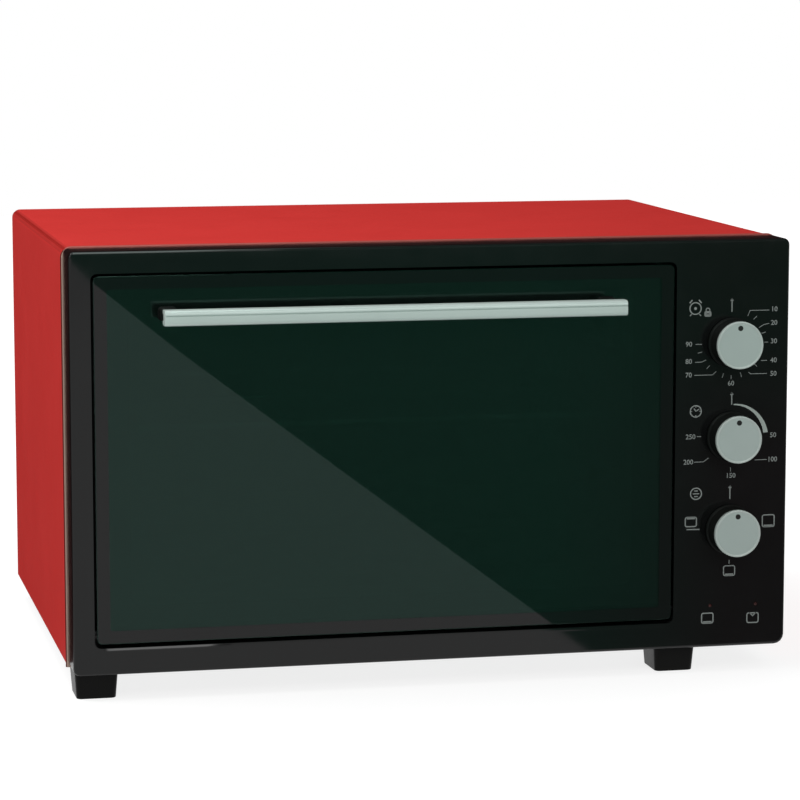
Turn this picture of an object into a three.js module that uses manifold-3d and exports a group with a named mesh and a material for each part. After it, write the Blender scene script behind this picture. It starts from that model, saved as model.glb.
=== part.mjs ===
// Mini oven with a drop-down glass door, built as the real one comes apart on a bench.
// Millimetres. +X runs to the right as seen from the front, +Y to the back, +Z up.
// The origin is on the table, under the middle of the whole oven, handle and cable gland included.
import * as THREE from "three";
import { mergeVertices } from "three/addons/utils/BufferGeometryUtils.js";
import Module from "manifold-3d";

const wasm = await Module();
wasm.setup();

// Driving dimensions

const fit = 0.3; // gap between pieces that seat on each other
const overrun = 4; // how far a cutter passes the face that it cuts

const body = { width: 560, height: 320, depth: 422, sheet: 0.6, bendRadius: 7, hemWidth: 9 };

const foot = {
  height: 20,
  width: 33,
  length: 37,
  taper: 1.5,
  cornerRadius: 4,
  setBack: 10,
  leftInset: 18.5, // from the left side of the body to the middle of the front left foot
  rearLeftInset: 50, // the same for the rear left foot, which stands further in
  rightInset: 86.5, // from the right side to the middle of the right feet, under the door's edge
  socketRadius: 6,
  socketDepth: 14,
  screwRadius: 2,
  screwHead: 4.5,
  headThickness: 3,
  screwTip: 5, // how far the screw stands up inside the body
};

// The black front frame: its borders round the door opening, and the control panel right of it.
const frame = {
  depth: 35,
  wall: 1,
  cornerRadius: 5,
  lowRightRadius: 8,
  edgeRadius: 2.5,
  leftWidth: 16.2,
  topWidth: 16.75,
  bottomWidth: 20.6,
  panelWidth: 91.25,
  openingRadius: 5,
  seatDepth: 24, // from the face to the plate that the door closes against
  seatSheet: 1,
};

const cavity = {
  sideGap: 23.5, // from the door opening's side to the cavity's wall
  floorGap: 20.4,
  roofGap: 19.25,
  rearGap: 56, // from the cavity's rear wall to the back of the body
  cornerRadius: 12,
  sheet: 0.5,
  flangeWidth: 8,
};
const runner = { firstHeight: 39, lastGap: 54, reach: 7, tipHeight: 4, rootHeight: 9 };
const runnerLevels = 4;
const rackLevel = 2; // runners are counted from 0 at the bottom
const trayLevel = 1;

const door = {
  gap: 2,
  footGap: 3.2, // the same below the door, where its lower edge swings
  glassThickness: 3.2,
  cornerRadius: 4,
  depth: 20,
  panSheet: 0.7,
  panGap: 3,
  panRadius: 4,
};
const pane = { sideWidth: 33, bottomWidth: 25, topWidth: 24, cornerRadius: 8, overlap: 8, thickness: 3 };
const seal = { gap: 4, width: 4 };

// The door turns on two pins behind its lower corners; a curved arm at each side is pulled by a spring.
const hinge = {
  depthBehindFace: 7,
  heightAboveEdge: 7.7,
  pinRadius: 2,
  pinHeadRadius: 4,
  headThickness: 1.5,
  earRadius: 5,
  armRadius: 50,
  armHalfWidth: 6,
  armSheet: 2.5,
  armGap: 6,
  slackGap: 1,
  tabSheet: 1.5,
  tabBelow: 14,
  tabAbove: 10,
  bracketSheet: 1,
  bracketGap: 11.2,
  bracketLength: 190,
  footWidth: 16,
  riseHeight: 45,
  tailHeight: 12, // height of the bracket's low tail under the hinge line
  neckLength: 70,
  rollerRadius: 4,
  hookHoleRadius: 2,
};
const armTailAngle = -25; // degrees below the horizontal, at rest
const rollerAngle = 50;
const spring = { radius: 4.2, hookRadius: 1, hookLength: 9 };

const handle = {
  reach: 38,
  height: 11.7,
  depth: 12,
  sideGap: 48, // from the side of the door glass to the end of the bar
  depthBelowEdge: 28.5, // from the top edge of the door glass to the middle of the bar
  edgeRadius: 3,
  grooveWidth: 0.9,
  slotHeight: 5,
  slotDepth: 4,
  postWidth: 14,
  postHeight: 10.5,
  baseHeight: 2.5,
  postRadius: 3,
  screwRadius: 2,
  screwLength: 14,
  screwHeadRadius: 4,
  headThickness: 2.4,
};
const grooveShare = 0.35; // height of the groove below the bar's top, as a share of the bar

const control = { rightOffset: 46.5, topOffset: 80, bottomOffset: 93.4 };
const controlRows = 3;
const knob = {
  radius: 18.4,
  skirtRadius: 19.6,
  skirtHeight: 3,
  height: 22,
  gap: 0.6,
  capThickness: 3,
  rimWidth: 0.9,
  capGap: 0.7,
  dotRadius: 1.9,
  dotOffset: 12.4,
  dotDepth: 0.8,
};
const shaft = { radius: 3, knobLength: 15, bodyLength: 12, bushRadius: 5, flatDepth: 0.8 };
const timer = {
  plateWidth: 56,
  plateHeight: 44,
  plateThickness: 1.5,
  canRadius: 23,
  canDepth: 27,
  bellRadius: 15,
  bellDepth: 6,
};
const thermostat = { width: 40, height: 34, depth: 22, plateThickness: 1.5, plateWidth: 52 };
const selector = {
  radius: 20,
  waferThickness: 7,
  waferGap: 2,
  coreRadius: 16,
  plateWidth: 50,
  plateHeight: 30,
  plateThickness: 1.5,
};
const selectorWafers = 3;
const blade = { width: 6.3, sheet: 0.8, length: 9 };
const lamp = {
  lensRadius: 1.4,
  domeHeight: 0.7,
  bodyRadius: 3.6,
  length: 17,
  flangeRadius: 4.6,
  rightOffset: 24,
  spacing: 37.3,
  height: 33,
};

const element = {
  radius: 3.25,
  roofGap: 18,
  floorGap: 14,
  bendRadius: 85,
  leftGap: 14,
  collarRadius: 8,
  collarThickness: 1.5,
  ceramicOffset: 22, // from the cavity wall to the ceramic end
  ceramicRadius: 4.5,
  ceramicLength: 14,
  pinRadius: 2,
  pinLength: 9,
};
const clip = { width: 10, wallThickness: 1.5 };
const shield = { wallGap: 30.25, sheet: 0.5, frontGap: 60, footWidth: 10, roofGap: 12, holeRadius: 6.5 };
const bulb = {
  radius: 3,
  length: 70,
  wallGap: 7,
  roofGap: 42,
  frontOffset: 100,
  capillaryRadius: 1.1,
  leadLength: 12,
};

const rear = { recessDepth: 1, flangeWidth: 10, cornerRadius: 3 };
const louvre = { width: 58, height: 9, pitch: 15, reach: 3.5, rightOffset: 62, baseHeight: 92 };
const louvreCount = 8;
const gland = {
  reach: 9,
  radius: 8,
  neckRadius: 6,
  boreRadius: 3.6,
  flangeThickness: 2,
  insideLength: 9,
  nutRadius: 9.5,
  rightOffset: 40,
  baseHeight: 42,
};
const baseSlot = { width: 44, height: 4, pitch: 12, rightOffset: 44, frontOffset: 90 };
const baseSlots = 8;
const basePan = { flangeHeight: 12 };

const rack = {
  rodRadius: 2.5,
  wireRadius: 1.5,
  crossRadius: 2,
  sideGap: 2.5,
  frontGap: 6,
  rearGap: 14,
  cornerRadius: 14,
};
const rackWires = 13;
const tray = {
  sideGap: 2.5,
  frontGap: 6,
  rearGap: 14,
  depth: 25,
  sheet: 0.8,
  rimWidth: 11,
  cornerRadius: 18,
  slopeWidth: 6,
};

const block = { width: 40, length: 18, height: 17, backGap: 70, screwRadius: 2.6 };
const lead = { radius: 1.6, bowLength: 16 };

// Facet counts
const cornerSteps = 4;
const roundSides = 24;
const pinSides = 12;
const wireSides = 6;
const tubeSides = 8;
const bandSteps = 12;
const hoodSteps = 3;
const bendSteps = 24;
const elementSteps = 44;
const capillarySteps = 40;
const leadSteps = 3; // for each point of a lead
const edgeAngles = [90, 60, 30, 0]; // stations round the front frame's rounded edge

// Datum planes

const half = 1 / 2;
const left = -body.width * half;
const right = body.width * half;
const bottom = foot.height;
const top = bottom + body.height;
const face = -(body.depth + gland.reach - handle.reach) * half;
const back = face + body.depth;
const wrapFront = face + frame.depth + fit;

const inset = ([a, b], by) => [a + by, b - by];
const middle = ([a, b]) => (a + b) * half;
const around = (centre, size) => [centre - size * half, centre + size * half];
const radians = (degrees) => THREE.MathUtils.degToRad(degrees);

const opening = {
  x: [left + frame.leftWidth, right - frame.panelWidth],
  z: [bottom + frame.bottomWidth, top - frame.topWidth],
};
const glass = {
  x: inset(opening.x, door.gap),
  z: [opening.z[0] + door.footGap, opening.z[1] - door.gap],
};
const seatFront = face + frame.seatDepth;
const seatBack = seatFront + frame.seatSheet;
const axis = { y: face + hinge.depthBehindFace, z: glass.z[0] + hinge.heightAboveEdge };
const pan = {
  x: inset(glass.x, door.panGap),
  y: [face + door.glassThickness + fit, face + door.depth],
  z: [axis.z + door.panSheet, glass.z[1] - door.panGap],
};
const inner = {
  x: inset(opening.x, cavity.sideGap),
  y: [seatBack + fit, back - cavity.rearGap],
  z: [opening.z[0] + cavity.floorGap, opening.z[1] - cavity.roofGap],
};
const runnerSpan = inner.z[1] - inner.z[0] - runner.firstHeight - runner.lastGap;
const ledge = (level) => inner.z[0] + runner.firstHeight + (level * runnerSpan) / (runnerLevels - 1);
const linerRight = inner.x[1] + cavity.sheet;
const shieldX = linerRight + shield.wallGap;
const controlX = right - control.rightOffset;
const controlSpan = body.height - control.topOffset - control.bottomOffset;
const controlZ = (row) => top - control.topOffset - (row * controlSpan) / (controlRows - 1);
const panelBack = face + frame.wall;
const armX = [pan.x[0] + hinge.armGap, pan.x[1] - hinge.armGap];

const footColumns = {
  front: { left: left + foot.leftInset, right: right - foot.rightInset },
  rear: { left: left + foot.rearLeftInset, right: right - foot.rightInset },
};
const footRows = {
  front: face + foot.setBack + foot.length * half,
  rear: back - foot.setBack - foot.length * half,
};
const footPlaces = Object.entries(footRows).flatMap(([row, y]) =>
  Object.entries(footColumns[row]).map(([column, x]) => ({ name: `${row}_${column}`, x, y })),
);

// Outlines, as lists of points

// A rectangle with rounded corners, counterclockwise from its lower left. One radius, or one for each corner.
function roundRect([u0, u1], [v0, v1], radius = 0, steps = cornerSteps) {
  const radii = Array.isArray(radius) ? radius : [radius, radius, radius, radius];
  const corners = [
    [u0, v0, 1, 1],
    [u1, v0, -1, 1],
    [u1, v1, -1, -1],
    [u0, v1, 1, -1],
  ];
  return corners.flatMap(([u, v, su, sv], corner) => {
    const r = radii[corner];
    if (r <= 0) return [new THREE.Vector2(u, v)];
    return Array.from({ length: steps + 1 }, (_, k) => {
      const angle = Math.PI + ((corner + k / steps) * Math.PI) / 2;
      return new THREE.Vector2(u + su * r + r * Math.cos(angle), v + sv * r + r * Math.sin(angle));
    });
  });
}

// A regular outline round a point.
function ring(u, v, radius, sides = roundSides) {
  return Array.from({ length: sides }, (_, k) => {
    const angle = (k / sides) * 2 * Math.PI;
    return new THREE.Vector2(u + radius * Math.cos(angle), v + radius * Math.sin(angle));
  });
}

// A closed counterclockwise outline moved outwards by a distance, its corners kept sharp.
function grown(points, by) {
  const count = points.length;
  return points.map((p, k) => {
    const before = p.clone().sub(points[(k + count - 1) % count]).normalize();
    const after = points[(k + 1) % count].clone().sub(p).normalize();
    const normal = new THREE.Vector2(before.y + after.y, -before.x - after.x);
    const reach = (2 * by) / normal.lengthSq();
    return p.clone().addScaledVector(normal, reach);
  });
}

// Points on an arc about (u, v), from one angle to another, in degrees.
function arc(u, v, radius, from, to, steps) {
  return Array.from({ length: steps + 1 }, (_, k) => {
    const angle = radians(from + ((to - from) * k) / steps);
    return new THREE.Vector2(u + radius * Math.cos(angle), v + radius * Math.sin(angle));
  });
}

// Solids

function solid(geometry) {
  const bare = new THREE.BufferGeometry();
  bare.setAttribute("position", geometry.getAttribute("position"));
  bare.setIndex(geometry.getIndex());
  const merged = mergeVertices(bare);
  const index = merged.getIndex().array;
  const faces = [];
  for (let k = 0; k < index.length; k += 3) {
    const [a, b, c] = [index[k], index[k + 1], index[k + 2]];
    if (a !== b && b !== c && c !== a) faces.push(a, b, c);
  }
  return new wasm.Manifold(
    new wasm.Mesh({
      numProp: 3,
      vertProperties: new Float32Array(merged.getAttribute("position").array),
      triVerts: new Uint32Array(faces),
    }),
  );
}

function box([x0, x1], [y0, y1], [z0, z1]) {
  const geometry = new THREE.BoxGeometry(x1 - x0, y1 - y0, z1 - z0);
  return solid(geometry.translate((x0 + x1) * half, (y0 + y1) * half, (z0 + z1) * half));
}

function extruded(outline, depth, holes) {
  const shape = new THREE.Shape(outline);
  holes.forEach((hole) => shape.holes.push(new THREE.Path(hole)));
  return new THREE.ExtrudeGeometry(shape, { depth, bevelEnabled: false });
}

// An outline in X and Z, made thick along Y.
function plate(outline, [y0, y1], holes = []) {
  return solid(extruded(outline, y1 - y0, holes).rotateX(Math.PI / 2).translate(0, y1, 0));
}

// An outline in Y and Z, made wide along X.
function prism(outline, [x0, x1], holes = []) {
  const turn = new THREE.Matrix4().makeBasis(
    new THREE.Vector3(0, 1, 0),
    new THREE.Vector3(0, 0, 1),
    new THREE.Vector3(1, 0, 0),
  );
  return solid(extruded(outline, x1 - x0, holes).applyMatrix4(turn).translate(x0, 0, 0));
}

// An outline in X and Y, made tall along Z.
function slab(outline, [z0, z1], holes = []) {
  return solid(extruded(outline, z1 - z0, holes).translate(0, 0, z0));
}

// A profile of [radius, distance] turned about a line along one axis, with distance counted along that axis.
function turned(profile, along, [x, y, z], sides = roundSides) {
  const points = profile.map(([radius, distance]) => new THREE.Vector2(radius, distance));
  const geometry = new THREE.LatheGeometry(points, sides);
  if (along === "x") geometry.rotateZ(-Math.PI / 2);
  if (along === "z") geometry.rotateX(Math.PI / 2);
  return solid(geometry.translate(x, y, z));
}

// A plain round bar between two distances on a line along one axis.
function bar(radius, [from, to], along, place, sides = roundSides) {
  const profile = [
    [0, from],
    [radius, from],
    [radius, to],
    [0, to],
  ];
  return turned(profile, along, place, sides);
}

// A round wire along a curve.
function wire(curve, radius, steps, sides = tubeSides) {
  const section = new THREE.Shape(ring(0, 0, radius, sides));
  return solid(new THREE.ExtrudeGeometry(section, { steps, extrudePath: curve }));
}

// A skin stretched over rings of points that all have the same count, closed at both ends.
function loft(rings) {
  const count = rings[0].length;
  const centre = (points) =>
    points.reduce((sum, p) => sum.add(p), new THREE.Vector3()).divideScalar(points.length);
  const vertices = [...rings.flat(), centre(rings[0]), centre(rings.at(-1))];
  const faces = [];
  const first = rings.length * count;
  for (let k = 0; k < count; k += 1) {
    const next = (k + 1) % count;
    faces.push(first, next, k);
    faces.push(first + 1, first - count + k, first - count + next);
    for (let r = 0; r < rings.length - 1; r += 1) {
      const [a, b] = [r * count + k, r * count + next];
      faces.push(a, b, b + count, a, b + count, a + count);
    }
  }
  const geometry = new THREE.BufferGeometry().setFromPoints(vertices);
  geometry.setIndex(faces);
  return solid(geometry);
}

// Rings for a loft upwards from XY outlines, and for one forwards from XZ outlines.
const atHeight = (outline, z) => outline.map((p) => new THREE.Vector3(p.x, p.y, z));
const atDepth = (outline, y) => outline.map((p) => new THREE.Vector3(p.x, y, p.y));

const joined = (pieces) => wasm.Manifold.union(pieces);

// Finishes

const finishes = {
  redPaint: { color: 0xc4272c, roughness: 0.35, metalness: 0 },
  blackPaint: { color: 0x101312, roughness: 0.25, metalness: 0 },
  smokedGlass: { color: 0x12201c, roughness: 0.05, metalness: 0 },
  clearGlass: { color: 0x8a9a92, roughness: 0.05, metalness: 0 },
  satinSilver: { color: 0xaab4af, roughness: 0.35, metalness: 0.8 },
  zincSteel: { color: 0x9a9c9c, roughness: 0.5, metalness: 0.9 },
  darkEnamel: { color: 0x1c1c1e, roughness: 0.3, metalness: 0 },
  chromedWire: { color: 0xc9ccd0, roughness: 0.2, metalness: 1 },
  elementSteel: { color: 0x55504c, roughness: 0.55, metalness: 0.7 },
  blackPlastic: { color: 0x141414, roughness: 0.5, metalness: 0 },
  ceramic: { color: 0xe8e2d4, roughness: 0.7, metalness: 0 },
  silicone: { color: 0x2a2a2a, roughness: 0.85, metalness: 0 },
  copper: { color: 0xb06a42, roughness: 0.4, metalness: 1 },
  redLens: { color: 0xb0241c, roughness: 0.2, metalness: 0 },
  leadSleeve: { color: 0xd8d4c8, roughness: 0.7, metalness: 0 },
};

const oven = new THREE.Group();

function add(name, finish, made) {
  const { vertProperties, triVerts } = made.getMesh();
  const geometry = new THREE.BufferGeometry();
  geometry.setAttribute("position", new THREE.BufferAttribute(vertProperties, 3));
  geometry.setIndex(new THREE.BufferAttribute(triVerts, 1));
  geometry.computeVertexNormals();
  const mesh = new THREE.Mesh(geometry, new THREE.MeshStandardMaterial(finishes[finish]));
  mesh.name = name;
  oven.add(mesh);
}

// Housing

// One sheet bent over the top and down both sides, with a hem round its front edge.
function outerWrap() {
  const arch = (by) => [0, 0, body.bendRadius - by, body.bendRadius - by];
  const outer = roundRect([left, right], [bottom, top], arch(0));
  const inside = inset([left, right], body.sheet);
  const hollow = roundRect(inside, [bottom - overrun, top - body.sheet], arch(body.sheet));
  const mouth = roundRect(inset([left, right], body.hemWidth), [bottom - overrun, top - body.hemWidth]);
  return plate(outer, [wrapFront, back])
    .subtract(plate(hollow, [wrapFront + body.sheet, back + overrun]))
    .subtract(plate(mouth, [wrapFront - overrun, wrapFront + overrun]));
}

function basePanSolid() {
  const x = inset([left, right], body.sheet + fit);
  const flangeEnd = back - rear.recessDepth - rear.flangeWidth - body.sheet - fit;
  const front = wrapFront + body.sheet + fit;
  const floor = box(x, [front, back - rear.recessDepth], [bottom, bottom + body.sheet]);
  const flanges = x.map((edge, end) =>
    box(
      end ? [edge - body.sheet, edge] : [edge, edge + body.sheet],
      [front, flangeEnd],
      [bottom, bottom + basePan.flangeHeight],
    ),
  );
  const slots = Array.from({ length: baseSlots }, (_, k) =>
    box(
      around(right - baseSlot.rightOffset, baseSlot.width),
      around(wrapFront + baseSlot.frontOffset + k * baseSlot.pitch, baseSlot.height),
      [bottom - overrun, bottom + overrun],
    ),
  );
  const screwHoles = footPlaces.map(({ x: footX, y }) => footScrewHole(footX, y));
  return joined([floor, ...flanges]).subtract(joined([...slots, ...screwHoles]));
}

// A louvre's hood is a quarter-round blister that opens downwards.
function louvreHood(x, z, y, shrink) {
  const [reach, height] = [louvre.reach - shrink, louvre.height - shrink];
  const low = z - louvre.height * half;
  const outline = [
    new THREE.Vector2(y - overrun, low - shrink),
    new THREE.Vector2(y + reach, low - shrink),
    ...arc(0, 0, 1, 0, 90, hoodSteps).map((p) => new THREE.Vector2(y + p.x * reach, low + p.y * height)),
    new THREE.Vector2(y - overrun, low + height),
  ];
  return prism(outline, around(x, louvre.width - 2 * shrink));
}

function rearPanel() {
  const x = inset([left, right], body.sheet + fit);
  const z = [bottom + body.sheet + fit, top - body.sheet - fit];
  const outside = back - rear.recessDepth;
  const y = [outside - body.sheet - rear.flangeWidth, outside];
  const corners = [rear.cornerRadius, rear.cornerRadius, body.bendRadius, body.bendRadius];
  const hollow = roundRect(inset(x, body.sheet), inset(z, body.sheet), corners);
  let made = plate(roundRect(x, z, corners), y).subtract(plate(hollow, [y[0] - overrun, y[1] - body.sheet]));
  const lowest = bottom + louvre.baseHeight;
  const centres = Array.from({ length: louvreCount }, (_, k) => lowest + k * louvre.pitch);
  const column = right - louvre.rightOffset;
  const space = box(around(column, 2 * louvre.width), [outside - body.sheet, outside + 2 * louvre.reach], z);
  made = made.add(joined(centres.map((c) => louvreHood(column, c, outside, 0))).intersect(space));
  made = made.subtract(joined(centres.map((c) => louvreHood(column, c, outside, body.sheet))));
  const hole = bar(gland.neckRadius + fit, [outside - overrun, outside + overrun], "y", [glandX, 0, glandZ]);
  return made.subtract(hole);
}

const glandX = right - gland.rightOffset;
const glandZ = bottom + gland.baseHeight;

// The bush that the mains lead would pass through: a flange outside, a nut inside, and an open bore.
function cableGland() {
  const outside = back - rear.recessDepth;
  const profile = [
    [gland.boreRadius, outside - body.sheet - gland.insideLength],
    [gland.nutRadius, outside - body.sheet - gland.insideLength],
    [gland.nutRadius, outside - body.sheet - fit],
    [gland.neckRadius, outside - body.sheet - fit],
    [gland.neckRadius, outside + fit],
    [gland.radius, outside + fit],
    [gland.radius, outside + fit + gland.flangeThickness],
    [gland.neckRadius, back + gland.reach],
    [gland.boreRadius, back + gland.reach],
    [gland.boreRadius, outside - body.sheet - gland.insideLength],
  ];
  return turned(profile, "y", [glandX, 0, glandZ], pinSides);
}

function frontFrame() {
  const corners = [frame.cornerRadius, frame.lowRightRadius, frame.cornerRadius, frame.cornerRadius];
  const outline = (by) => {
    const radii = corners.map((r) => r - by);
    return roundRect(inset([left, right], by), inset([bottom, top], by), radii);
  };
  const rings = edgeAngles.map((angle) => {
    const turn = radians(angle);
    const [inwards, backwards] = [1 - Math.sin(turn), 1 - Math.cos(turn)];
    return atDepth(outline(frame.edgeRadius * inwards), face + frame.edgeRadius * backwards);
  });
  const skirt = loft([atDepth(outline(0), face + frame.depth), ...rings]);
  const hollow = plate(outline(frame.wall), [panelBack, face + frame.depth + overrun]);
  const [wallX, wallZ] = [inset(opening.x, -frame.wall), inset(opening.z, -frame.wall)];
  const wallOutline = roundRect(wallX, wallZ, frame.openingRadius);
  const recessWall = plate(wallOutline, [face + frame.wall * half, seatBack]);
  const recess = plate(roundRect(opening.x, opening.z, frame.openingRadius), [face - overrun, seatFront]);
  const mouthY = [seatFront - overrun, seatBack + overrun];
  const mouth = plate(roundRect(inner.x, inner.z, cavity.cornerRadius), mouthY);
  return skirt
    .subtract(hollow)
    .add(recessWall)
    .subtract(joined([recess, mouth, ...armSlots(), ...pinHoles(), ...controlHoles(), ...lampHoles()]))
    .subtract(joined(footPlaces.map(({ x, y }) => footScrewHole(x, y))));
}

// The slots that the hinge arms slide through: as high as the arm's band where it crosses the seat plate.
function armSlots() {
  const [near, far] = [seatFront - axis.y, seatBack - axis.y];
  const z = [
    axis.z + Math.sqrt((hinge.armRadius - hinge.armHalfWidth) ** 2 - far ** 2) - hinge.slackGap,
    axis.z + Math.sqrt((hinge.armRadius + hinge.armHalfWidth) ** 2 - near ** 2) + hinge.slackGap,
  ];
  const y = [seatFront - overrun, seatBack + overrun];
  return armX.map((x) => box(around(x, hinge.armSheet + 2 * hinge.slackGap), y, z));
}

// Holes for the hinge pins through a pair of side walls.
function pinHoles(walls = opening.x) {
  const place = [0, axis.y, axis.z];
  return walls.map((x) => bar(hinge.pinRadius + fit, inset([x, x], -overrun), "x", place, pinSides));
}

function controlHoles() {
  const y = [face - overrun, panelBack + overrun];
  return Array.from({ length: controlRows }, (_, row) =>
    bar(shaft.bushRadius + fit, y, "y", [controlX, 0, controlZ(row)], pinSides),
  );
}

const lampX = around(right - lamp.rightOffset - lamp.spacing * half, lamp.spacing);
const lampZ = bottom + lamp.height;

function lampHoles() {
  const y = [face - overrun, panelBack + overrun];
  return lampX.map((x) => bar(lamp.lensRadius + fit, y, "y", [x, 0, lampZ], tubeSides));
}

// The cavity's section: a rounded box whose side walls are pressed inwards as runners with a flat top.
function cavityOutline() {
  const [x0, x1] = inner.x;
  const [z0, z1] = inner.z;
  const base = roundRect(inner.x, inner.z, cavity.cornerRadius);
  const perCorner = cornerSteps + 1;
  const levels = Array.from({ length: runnerLevels }, (_, level) => ledge(level));
  const rightRunners = levels.flatMap((z) => [
    new THREE.Vector2(x1, z - runner.rootHeight),
    new THREE.Vector2(x1 - runner.reach, z - runner.tipHeight),
    new THREE.Vector2(x1 - runner.reach, z),
    new THREE.Vector2(x1, z),
  ]);
  const leftRunners = levels.toReversed().flatMap((z) => [
    new THREE.Vector2(x0, z),
    new THREE.Vector2(x0 + runner.reach, z),
    new THREE.Vector2(x0 + runner.reach, z - runner.tipHeight),
    new THREE.Vector2(x0, z - runner.rootHeight),
  ]);
  return [
    ...base.slice(0, 2 * perCorner),
    ...rightRunners,
    ...base.slice(2 * perCorner),
    ...leftRunners,
  ];
}

function cavityLiner() {
  const inside = cavityOutline();
  const outside = grown(inside, cavity.sheet);
  const [front, rearEnd] = inner.y;
  const block = plate(outside, [front, rearEnd + cavity.sheet]);
  const hollow = plate(inside, [front - overrun, rearEnd]);
  const [rimX, rimZ] = [inset(inner.x, -cavity.flangeWidth), inset(inner.z, -cavity.flangeWidth)];
  const rim = roundRect(rimX, rimZ, cavity.cornerRadius);
  const flange = plate(rim, [front, front + cavity.sheet]);
  const legHoles = elementLegs().map(({ y, z }) =>
    bar(element.radius + fit, inset([linerRight, linerRight], -overrun), "x", [0, y, z], pinSides),
  );
  const capillaryHole = bar(
    bulb.capillaryRadius + fit,
    inset([linerRight, linerRight], -overrun),
    "x",
    [0, bulbY[0] - bulb.leadLength, bulbZ],
    tubeSides,
  );
  return block.add(flange).subtract(joined([hollow, ...legHoles, capillaryHole]));
}

// A plate between the cavity and the controls, standing on the base pan.
function heatShield() {
  const x = [shieldX, shieldX + shield.sheet];
  const y = [face + shield.frontGap, back - rear.recessDepth - body.sheet - rear.flangeWidth - fit];
  const z = [bottom + body.sheet + fit, top - shield.roofGap];
  const foot = box([shieldX, shieldX + shield.footWidth], y, [z[0], z[0] + shield.sheet]);
  const through = inset(x, -overrun);
  const holes = elementLegs().map((leg) => bar(shield.holeRadius, through, "x", [0, leg.y, leg.z], pinSides));
  const capillaryPlace = [0, bulbY[0] - bulb.leadLength, bulbZ];
  const capillary = bar(shield.holeRadius * half, through, "x", capillaryPlace, pinSides);
  return box(x, y, z).add(foot).subtract(joined([...holes, capillary]));
}

// A tapered foot with a deep socket for its screw.
function footAt(x, y) {
  const outline = (by) =>
    roundRect(inset(around(x, foot.width), by), inset(around(y, foot.length), by), foot.cornerRadius);
  const socket = bar(foot.socketRadius, [-overrun, foot.socketDepth], "z", [x, y, 0], pinSides);
  const made = loft([atHeight(outline(foot.taper), 0), atHeight(outline(0), foot.height)]);
  return made.subtract(socket).subtract(footScrewHole(x, y));
}

function footScrewHole(x, y) {
  return bar(foot.screwRadius + fit, [0, foot.height + overrun], "z", [x, y, 0], tubeSides);
}

function footScrew(x, y) {
  const seat = foot.socketDepth - fit;
  const profile = [
    [0, seat - foot.headThickness],
    [foot.screwHead * half, seat - foot.headThickness],
    [foot.screwHead, seat - foot.headThickness * half],
    [foot.screwHead, seat],
    [foot.screwRadius, seat],
    [foot.screwRadius, foot.height + foot.screwTip],
    [0, foot.height + foot.screwTip],
  ];
  return turned(profile, "z", [x, y, 0], tubeSides);
}

function addFeet() {
  for (const { name, x, y } of footPlaces) {
    add(`foot_${name}`, "blackPlastic", footAt(x, y));
    add(`foot_screw_${name}`, "zincSteel", footScrew(x, y));
  }
}

// Heating elements

const elementHeights = { lower: inner.z[0] + element.floorGap, upper: inner.z[1] - element.roofGap };
const elementY = middle(inner.y);

function elementLegs() {
  return Object.values(elementHeights).flatMap((z) =>
    [-1, 1].map((end) => ({ y: elementY + end * element.bendRadius, z })),
  );
}

// A hairpin tube that comes in through the right wall, turns near the left one and goes out again.
function heatingElement(z) {
  const out = linerRight + element.ceramicOffset;
  const turn = inner.x[0] + element.leftGap + element.radius + element.bendRadius;
  const at = (x, y) => new THREE.Vector3(x, y, z);
  const [near, far] = [elementY - element.bendRadius, elementY + element.bendRadius];
  const path = new THREE.CurvePath();
  path.add(new THREE.LineCurve3(at(out, near), at(turn, near)));
  const [radius, start, end] = [element.bendRadius, (3 * Math.PI) / 2, Math.PI / 2];
  const bend = new THREE.EllipseCurve(0, 0, radius, radius, start, end, true);
  const bendPoints = bend.getPoints(bendSteps).map((p) => at(turn + p.x, elementY + p.y));
  path.add(new THREE.CatmullRomCurve3(bendPoints));
  path.add(new THREE.LineCurve3(at(turn, far), at(out, far)));
  const collarAt = linerRight + fit;
  const ends = [-1, 1].flatMap((end) => {
    const place = [0, elementY + end * element.bendRadius, z];
    return [
      bar(element.collarRadius, [collarAt, collarAt + element.collarThickness], "x", place, tubeSides),
      bar(element.ceramicRadius, [out - element.radius, out + element.ceramicLength], "x", place, tubeSides),
      bar(element.pinRadius, [out, out + element.ceramicLength + element.pinLength], "x", place, tubeSides),
    ];
  });
  return joined([wire(path, element.radius, elementSteps), ...ends]);
}

// A saddle fixed to the floor or the roof of the cavity, which cradles the element's bend.
function elementClip(z, mount) {
  const x = inner.x[0] + element.leftGap + element.radius;
  const reach = element.radius + fit + clip.wallThickness;
  const from = z < mount ? [z - reach, mount - fit] : [mount + fit, z + reach];
  const saddle = box(around(x, 2 * reach), around(elementY, clip.width), from);
  const grooveY = around(elementY, clip.width + 2 * overrun);
  const groove = bar(element.radius + 2 * fit, grooveY, "y", [x, 0, z], pinSides);
  return saddle.subtract(groove);
}

// Door

function doorOuterGlass() {
  const sheet = plate(roundRect(glass.x, glass.z, door.cornerRadius), [face, face + door.glassThickness]);
  const through = [face - overrun, face + door.glassThickness + overrun];
  const holes = postX.map((x) => bar(handle.screwRadius + fit, through, "y", [x, 0, handleZ], pinSides));
  return sheet.subtract(joined(holes));
}

const windowX = inset(pan.x, pane.sideWidth);
const windowZ = [pan.z[0] + pane.bottomWidth, pan.z[1] - pane.topWidth];

function doorInnerGlass() {
  const y1 = pan.y[1] - door.panSheet - fit;
  const x = inset(windowX, -pane.overlap);
  const z = inset(windowZ, -pane.overlap);
  return plate(roundRect(x, z, pane.cornerRadius), [y1 - pane.thickness, y1]);
}

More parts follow.
